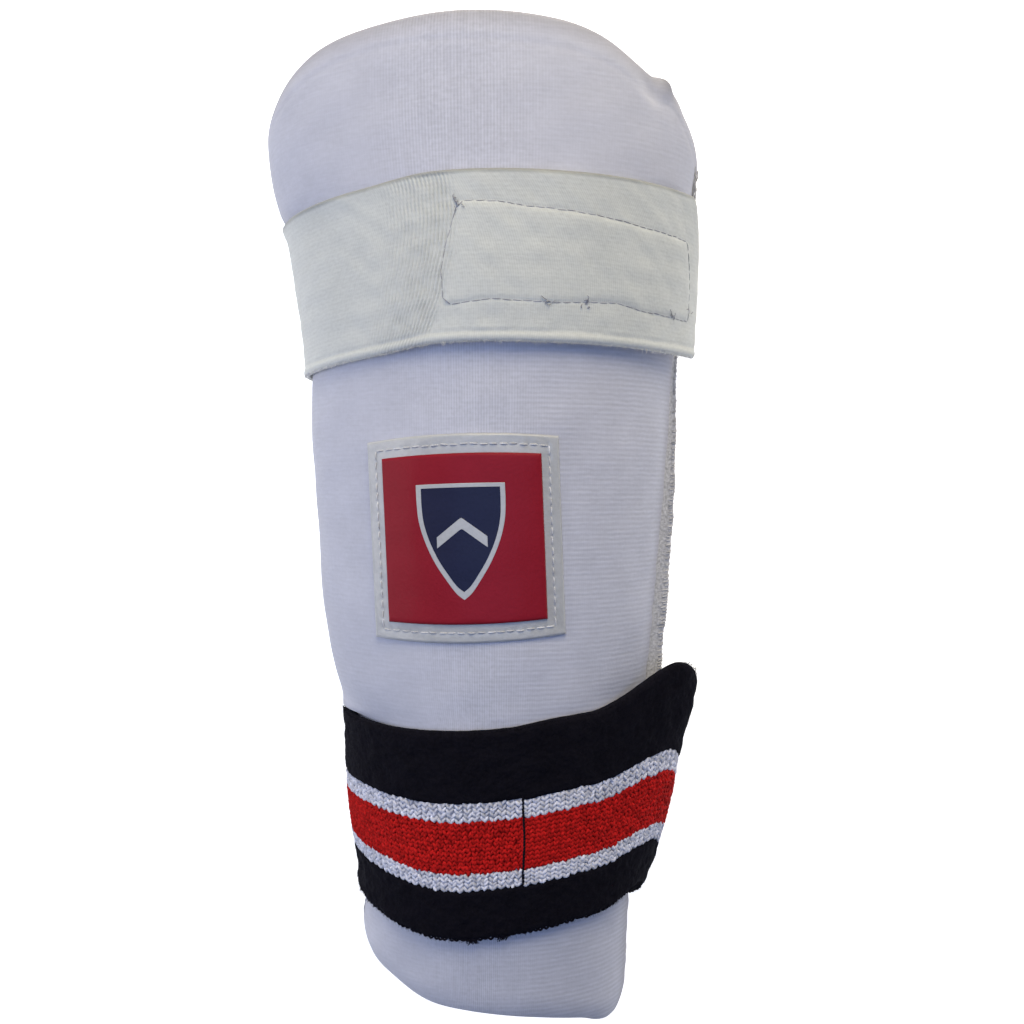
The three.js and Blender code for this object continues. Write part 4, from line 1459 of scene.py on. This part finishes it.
def make_flange(side, material):
    """The sewn edge that stands out from a rim."""
    along, across = np.linspace(*flange_run(side), FLANGE_GRID[0]), stations(FLANGE_GRID[1], 0.6)
    y = along[:, None]
    inner_x, outer_x, sway, slope = flange_sides(side, y)
    share = across[None, :] if side == "right" else 1 - across[None, :]
    x = OUTWARD[side] * mix(inner_x, outer_x, share)
    half = SEAM_THICKNESS / 2 * fullness((1 - share) * SEAM_INSET + 0.05, FLANGE_EDGE_ROUND)
    ruffle = 0.10 * waves(y, share * SEAM_INSET, 3, 44) * smooth(1 - share, 0, 0.2)
    top = placed(x, y, flange_top(share, sway, slope) + half + ruffle)
    bottom = placed(x, y, flange_top(share, sway, 0) - half)
    return closed_sheet("flange_" + side, top, bottom, along, across * SEAM_INSET, material)


def make_overlock(side, material):
    """Thread loops over the flange's edge, uneven as sewn."""
    low, high = np.add(flange_run(side), (1, -1))
    count = round((high - low) / OVERLOCK_STEP)
    t = np.linspace(0, 1, OVERLOCK_POINTS)[None, :]
    y = np.linspace(low, high, count)[:, None] + rng.normal(0, 0.3, (count, 1))
    if side == "left":
        y = y[(y[:, 0] < BAND_LOW_Y) | (y[:, 0] > SQUEEZE_Y + SQUEEZE_REACH)]
    shape = y.shape
    y = y + rng.normal(0.9, 0.5, shape) * (t - 0.5)
    inner_x, outer_x, sway, slope = flange_sides(side, y)
    turn = math.pi * (0.12 + 0.88 * t)
    share = mix(rng.uniform(0.1, 0.5, shape), 1, np.sin(turn) ** 0.7)
    x = OUTWARD[side] * (mix(inner_x, outer_x, share) + 0.12)
    over = flange_top(share, sway, slope) + SEAM_THICKNESS / 2
    under = SEAM_HEIGHT + sway - SEAM_THICKNESS / 2
    z = mix(under - 0.1, over + 0.08, smooth(np.cos(turn), -0.6, 0.6))
    return tubes("overlock_" + side, placed(x, y, z), SEAM_STRAND, material, 5)


def make_ragged_edge(name, place, material):
    """Loose seam threads that come out of the pad's side, wander along it and go in again."""
    shape = (RAGGED_THREADS, 1)
    t = np.linspace(0, 1, RAGGED_POINTS)
    middle = mix(*place["angles"], 0.5)
    wrist, upper = curve(PAD_ENDS, "wrist", middle), curve(PAD_ENDS, "upper", middle)
    rows = (mix(*place["along"], t) - wrist) / (upper - wrist)
    skin, _, out, facts = pad_skins(mix(*place["angles"], rng.uniform(0, 1, RAGGED_THREADS)) / 180, rows)
    strand = RAGGED_APART * np.arange(RAGGED_THREADS)[:, None]
    emerging = smooth(t, 0, rng.uniform(0.1, 0.5, shape)) * falling(t, rng.uniform(0.6, 0.9, shape), 1)
    wander = mix(*place["reach"], 0.5 + 0.5 * waves(facts["y"], strand, 2.6, 52))
    reach = wander - RAGGED_DEPTH * (1 - emerging)
    sway = 0.6 * waves(facts["y"], strand, 6, 51)
    return tubes(name, skin + out * reach[..., None] + placed(0, 0, sway), SEAM_STRAND, material, 5)


# The guard

strap_run = strap_surface()
band_run = band_surface()
seam_at = angle_length(band_run, BAND_SEAM_ANGLE)

seam_cloth = seam_material()
white_yarn = strand_material("white_yarn", KNIT_WHITE, 0.85, dark=0.7, light=1.12, shine=0.2)
red_yarn = strand_material("red_yarn", KNIT_RED, 0.85, dark=0.62, light=1.12, shine=0.08)
black_yarn = strand_material("black_yarn", scaled(KNIT_BLACK, 1.2), 0.9, dark=0.6, light=1.6, shine=0.08)
white_thread = strand_material("white_thread", THREAD, 0.6, dark=0.8, light=1.15)
seam_thread = strand_material("seam_thread", SEAM_THREAD, 0.75, dark=0.62, light=1.2)
grey_thread = strand_material("grey_thread", GREY_THREAD, 0.7, dark=0.7, light=1.3)
# Loose threads: the seam thread darkened by a quarter as painted shade, for the fringe that shows dark at the
# rims
loose_thread = strand_material("loose_thread", scaled(SEAM_THREAD, 0.75), 0.75, dark=0.62, light=1.2)
border = vinyl_material("label_vinyl", LABEL_WHITE, 0.35, shine=0.4, coat=0.2, speckle=0.08)
print_red = vinyl_material("label_red", LABEL_RED, 0.5, shine=0.12, coat=0.03, speckle=0.06)
print_navy = vinyl_material("label_navy", NAVY, 0.45, shine=0.2, coat=0.05, speckle=0.1)

pad = make_pad(cover_material())
strap = make_strap(strap_run, elastic_material())
strap_trim = [
    make_strap_stitches(strap_run, grey_thread),
    make_strap_ends(strap_run, grey_thread),
    make_strap_fuzz(strap_run, white_thread),
]
strap_stitches, strap_ends, strap_fuzz = strap_trim
hook_tape = make_hook_tape(hook_material())

band = make_band(band_run, pile_material())
knitted = make_stitches(band_run, seam_at)
band_yarns = [
    tubes("band_white_stitches", *knitted["white"], white_yarn, 6),
    tubes("band_red_stitches", *knitted["red"], red_yarn, 5),
    make_fibres(band_run, black_yarn),
    make_band_seam(band_run, seam_at, black_yarn),
    make_edge_loops(band_run, black_yarn),
    make_tufts(band_run, black_yarn),
]

panel_low = 2 * GAP + LABEL_BASE_THICKNESS
label_base = label_sheet("label_border", LABEL_BASE, GAP, LABEL_BASE_THICKNESS, base_relief, border)
label_panel = label_sheet(
    "label_face", LABEL_PANEL, panel_low, LABEL_PANEL_THICKNESS, panel_relief, print_red
)
label_stitches = make_label_stitches(white_thread)
shield_outline = make_shield("shield_outline", border, **SHIELD_OUTLINE)
shield = make_shield("shield", print_navy, **SHIELD_FACE)
chevron = make_chevron(border)

flanges = {side: make_flange(side, seam_cloth) for side in OUTWARD}
overlocks = [make_overlock(side, seam_thread) for side in OUTWARD]
overlocks.append(make_ragged_edge("ragged_upper", RAGGED_UPPER, loose_thread))
overlocks.append(make_ragged_edge("ragged_wrist", RAGGED_WRIST, loose_thread))

replaced = {
    "pad": pad,
    "elastic_strap": strap,
    "hook_patch": hook_tape,
    "knit_band": band,
    "label_base": label_base,
    "label_panel": label_panel,
    "side_seam_left": flanges["left"],
    "side_seam_right": flanges["right"],
}
for solid, piece in replaced.items():
    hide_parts(solid)

slots = {
    "cover": [pad],
    "elastic": [strap, strap_fuzz],
    "hook_tape": [hook_tape],
    "knit": [band, *band_yarns],
    "label_border": [label_base, label_stitches, shield_outline, chevron],
    "label_panel": [label_panel, shield],
    "edge_thread": [*flanges.values(), *overlocks, strap_stitches, strap_ends],
}
for slot, members in slots.items():
    for member in members:
        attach(member, "root")

# Floor, light and camera

FLOOR_HALF = 3.0
FLOOR_GREY = (0.86, 0.86, 0.86)
FLOOR_GLOW = {"Emission_Color": (1, 1, 1, 1), "Emission_Strength": 0.9}
SKY_COLOR = (0.86, 0.90, 1.0, 1)
SKY_STRENGTH = 0.04
# Lamps that face the middle: name, place, size, power and colour
LAMPS = (
    ("key", (0.12, 0.50, 0.43), 0.5, 3.87, (1.0, 0.884, 0.642)),
    ("fill", (-0.60, 0.0, 0.45), 0.5, 1.97, (0.918, 0.93, 1.0)),
    ("overhead", (0.05, 0.0, 0.75), 0.6, 1.8, (0.368, 0.54, 1.0)),
)
CAMERA_AT = Vector((0.043894, 0.0159, 0.35))
CAMERA_TARGET = Vector((0.010099, 0.00858, 0.02))
CAMERA_LENS = 40.216
CAMERA_SENSOR = 36
CAMERA_NEAREST = 0.01

floor_mesh = bpy.data.meshes.new("floor")
floor_corners = [(FLOOR_HALF * x, FLOOR_HALF * y, 0) for x, y in ((-1, -1), (1, -1), (1, 1), (-1, 1))]
floor_mesh.from_pydata(floor_corners, [], [(0, 1, 2, 3)])
floor_mesh.materials.append(Paint("floor_paint", FLOOR_GREY, 0.9, on_cloth=False, **FLOOR_GLOW).material)
added("floor", floor_mesh)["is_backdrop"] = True

world = bpy.data.worlds.new("studio")
bpy.context.scene.world = world
world.use_nodes = True
sky = world.node_tree.nodes["Background"]
sky.inputs["Color"].default_value = SKY_COLOR
sky.inputs["Strength"].default_value = SKY_STRENGTH

for name, place, size, power, color in LAMPS:
    lamp = bpy.data.lights.new(name, "AREA")
    lamp.shape = "DISK"
    lamp.size = size
    lamp.energy = power
    lamp.color = color
    stand = added(name, lamp)
    stand.location = place
    stand.rotation_mode = "QUATERNION"
    stand.rotation_quaternion = (-Vector(place)).to_track_quat("-Z", "Y")

eye = bpy.data.cameras.new("camera")
eye.sensor_width = CAMERA_SENSOR
eye.lens = CAMERA_LENS
eye.clip_start = CAMERA_NEAREST
camera = added("camera", eye)
back = (CAMERA_AT - CAMERA_TARGET).normalized()
right = Vector((0, 1, 0)).cross(back).normalized()
camera.location = CAMERA_AT
camera.rotation_mode = "QUATERNION"
camera.rotation_quaternion = Matrix((right, back.cross(right), back)).transposed().to_quaternion()
bpy.context.scene.camera = camera
bpy.context.scene.view_settings.view_transform = "Standard"

boxes = {"cad": cad_box, "visual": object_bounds()}
{name: [list(point) for point in box] for name, box in boxes.items()}
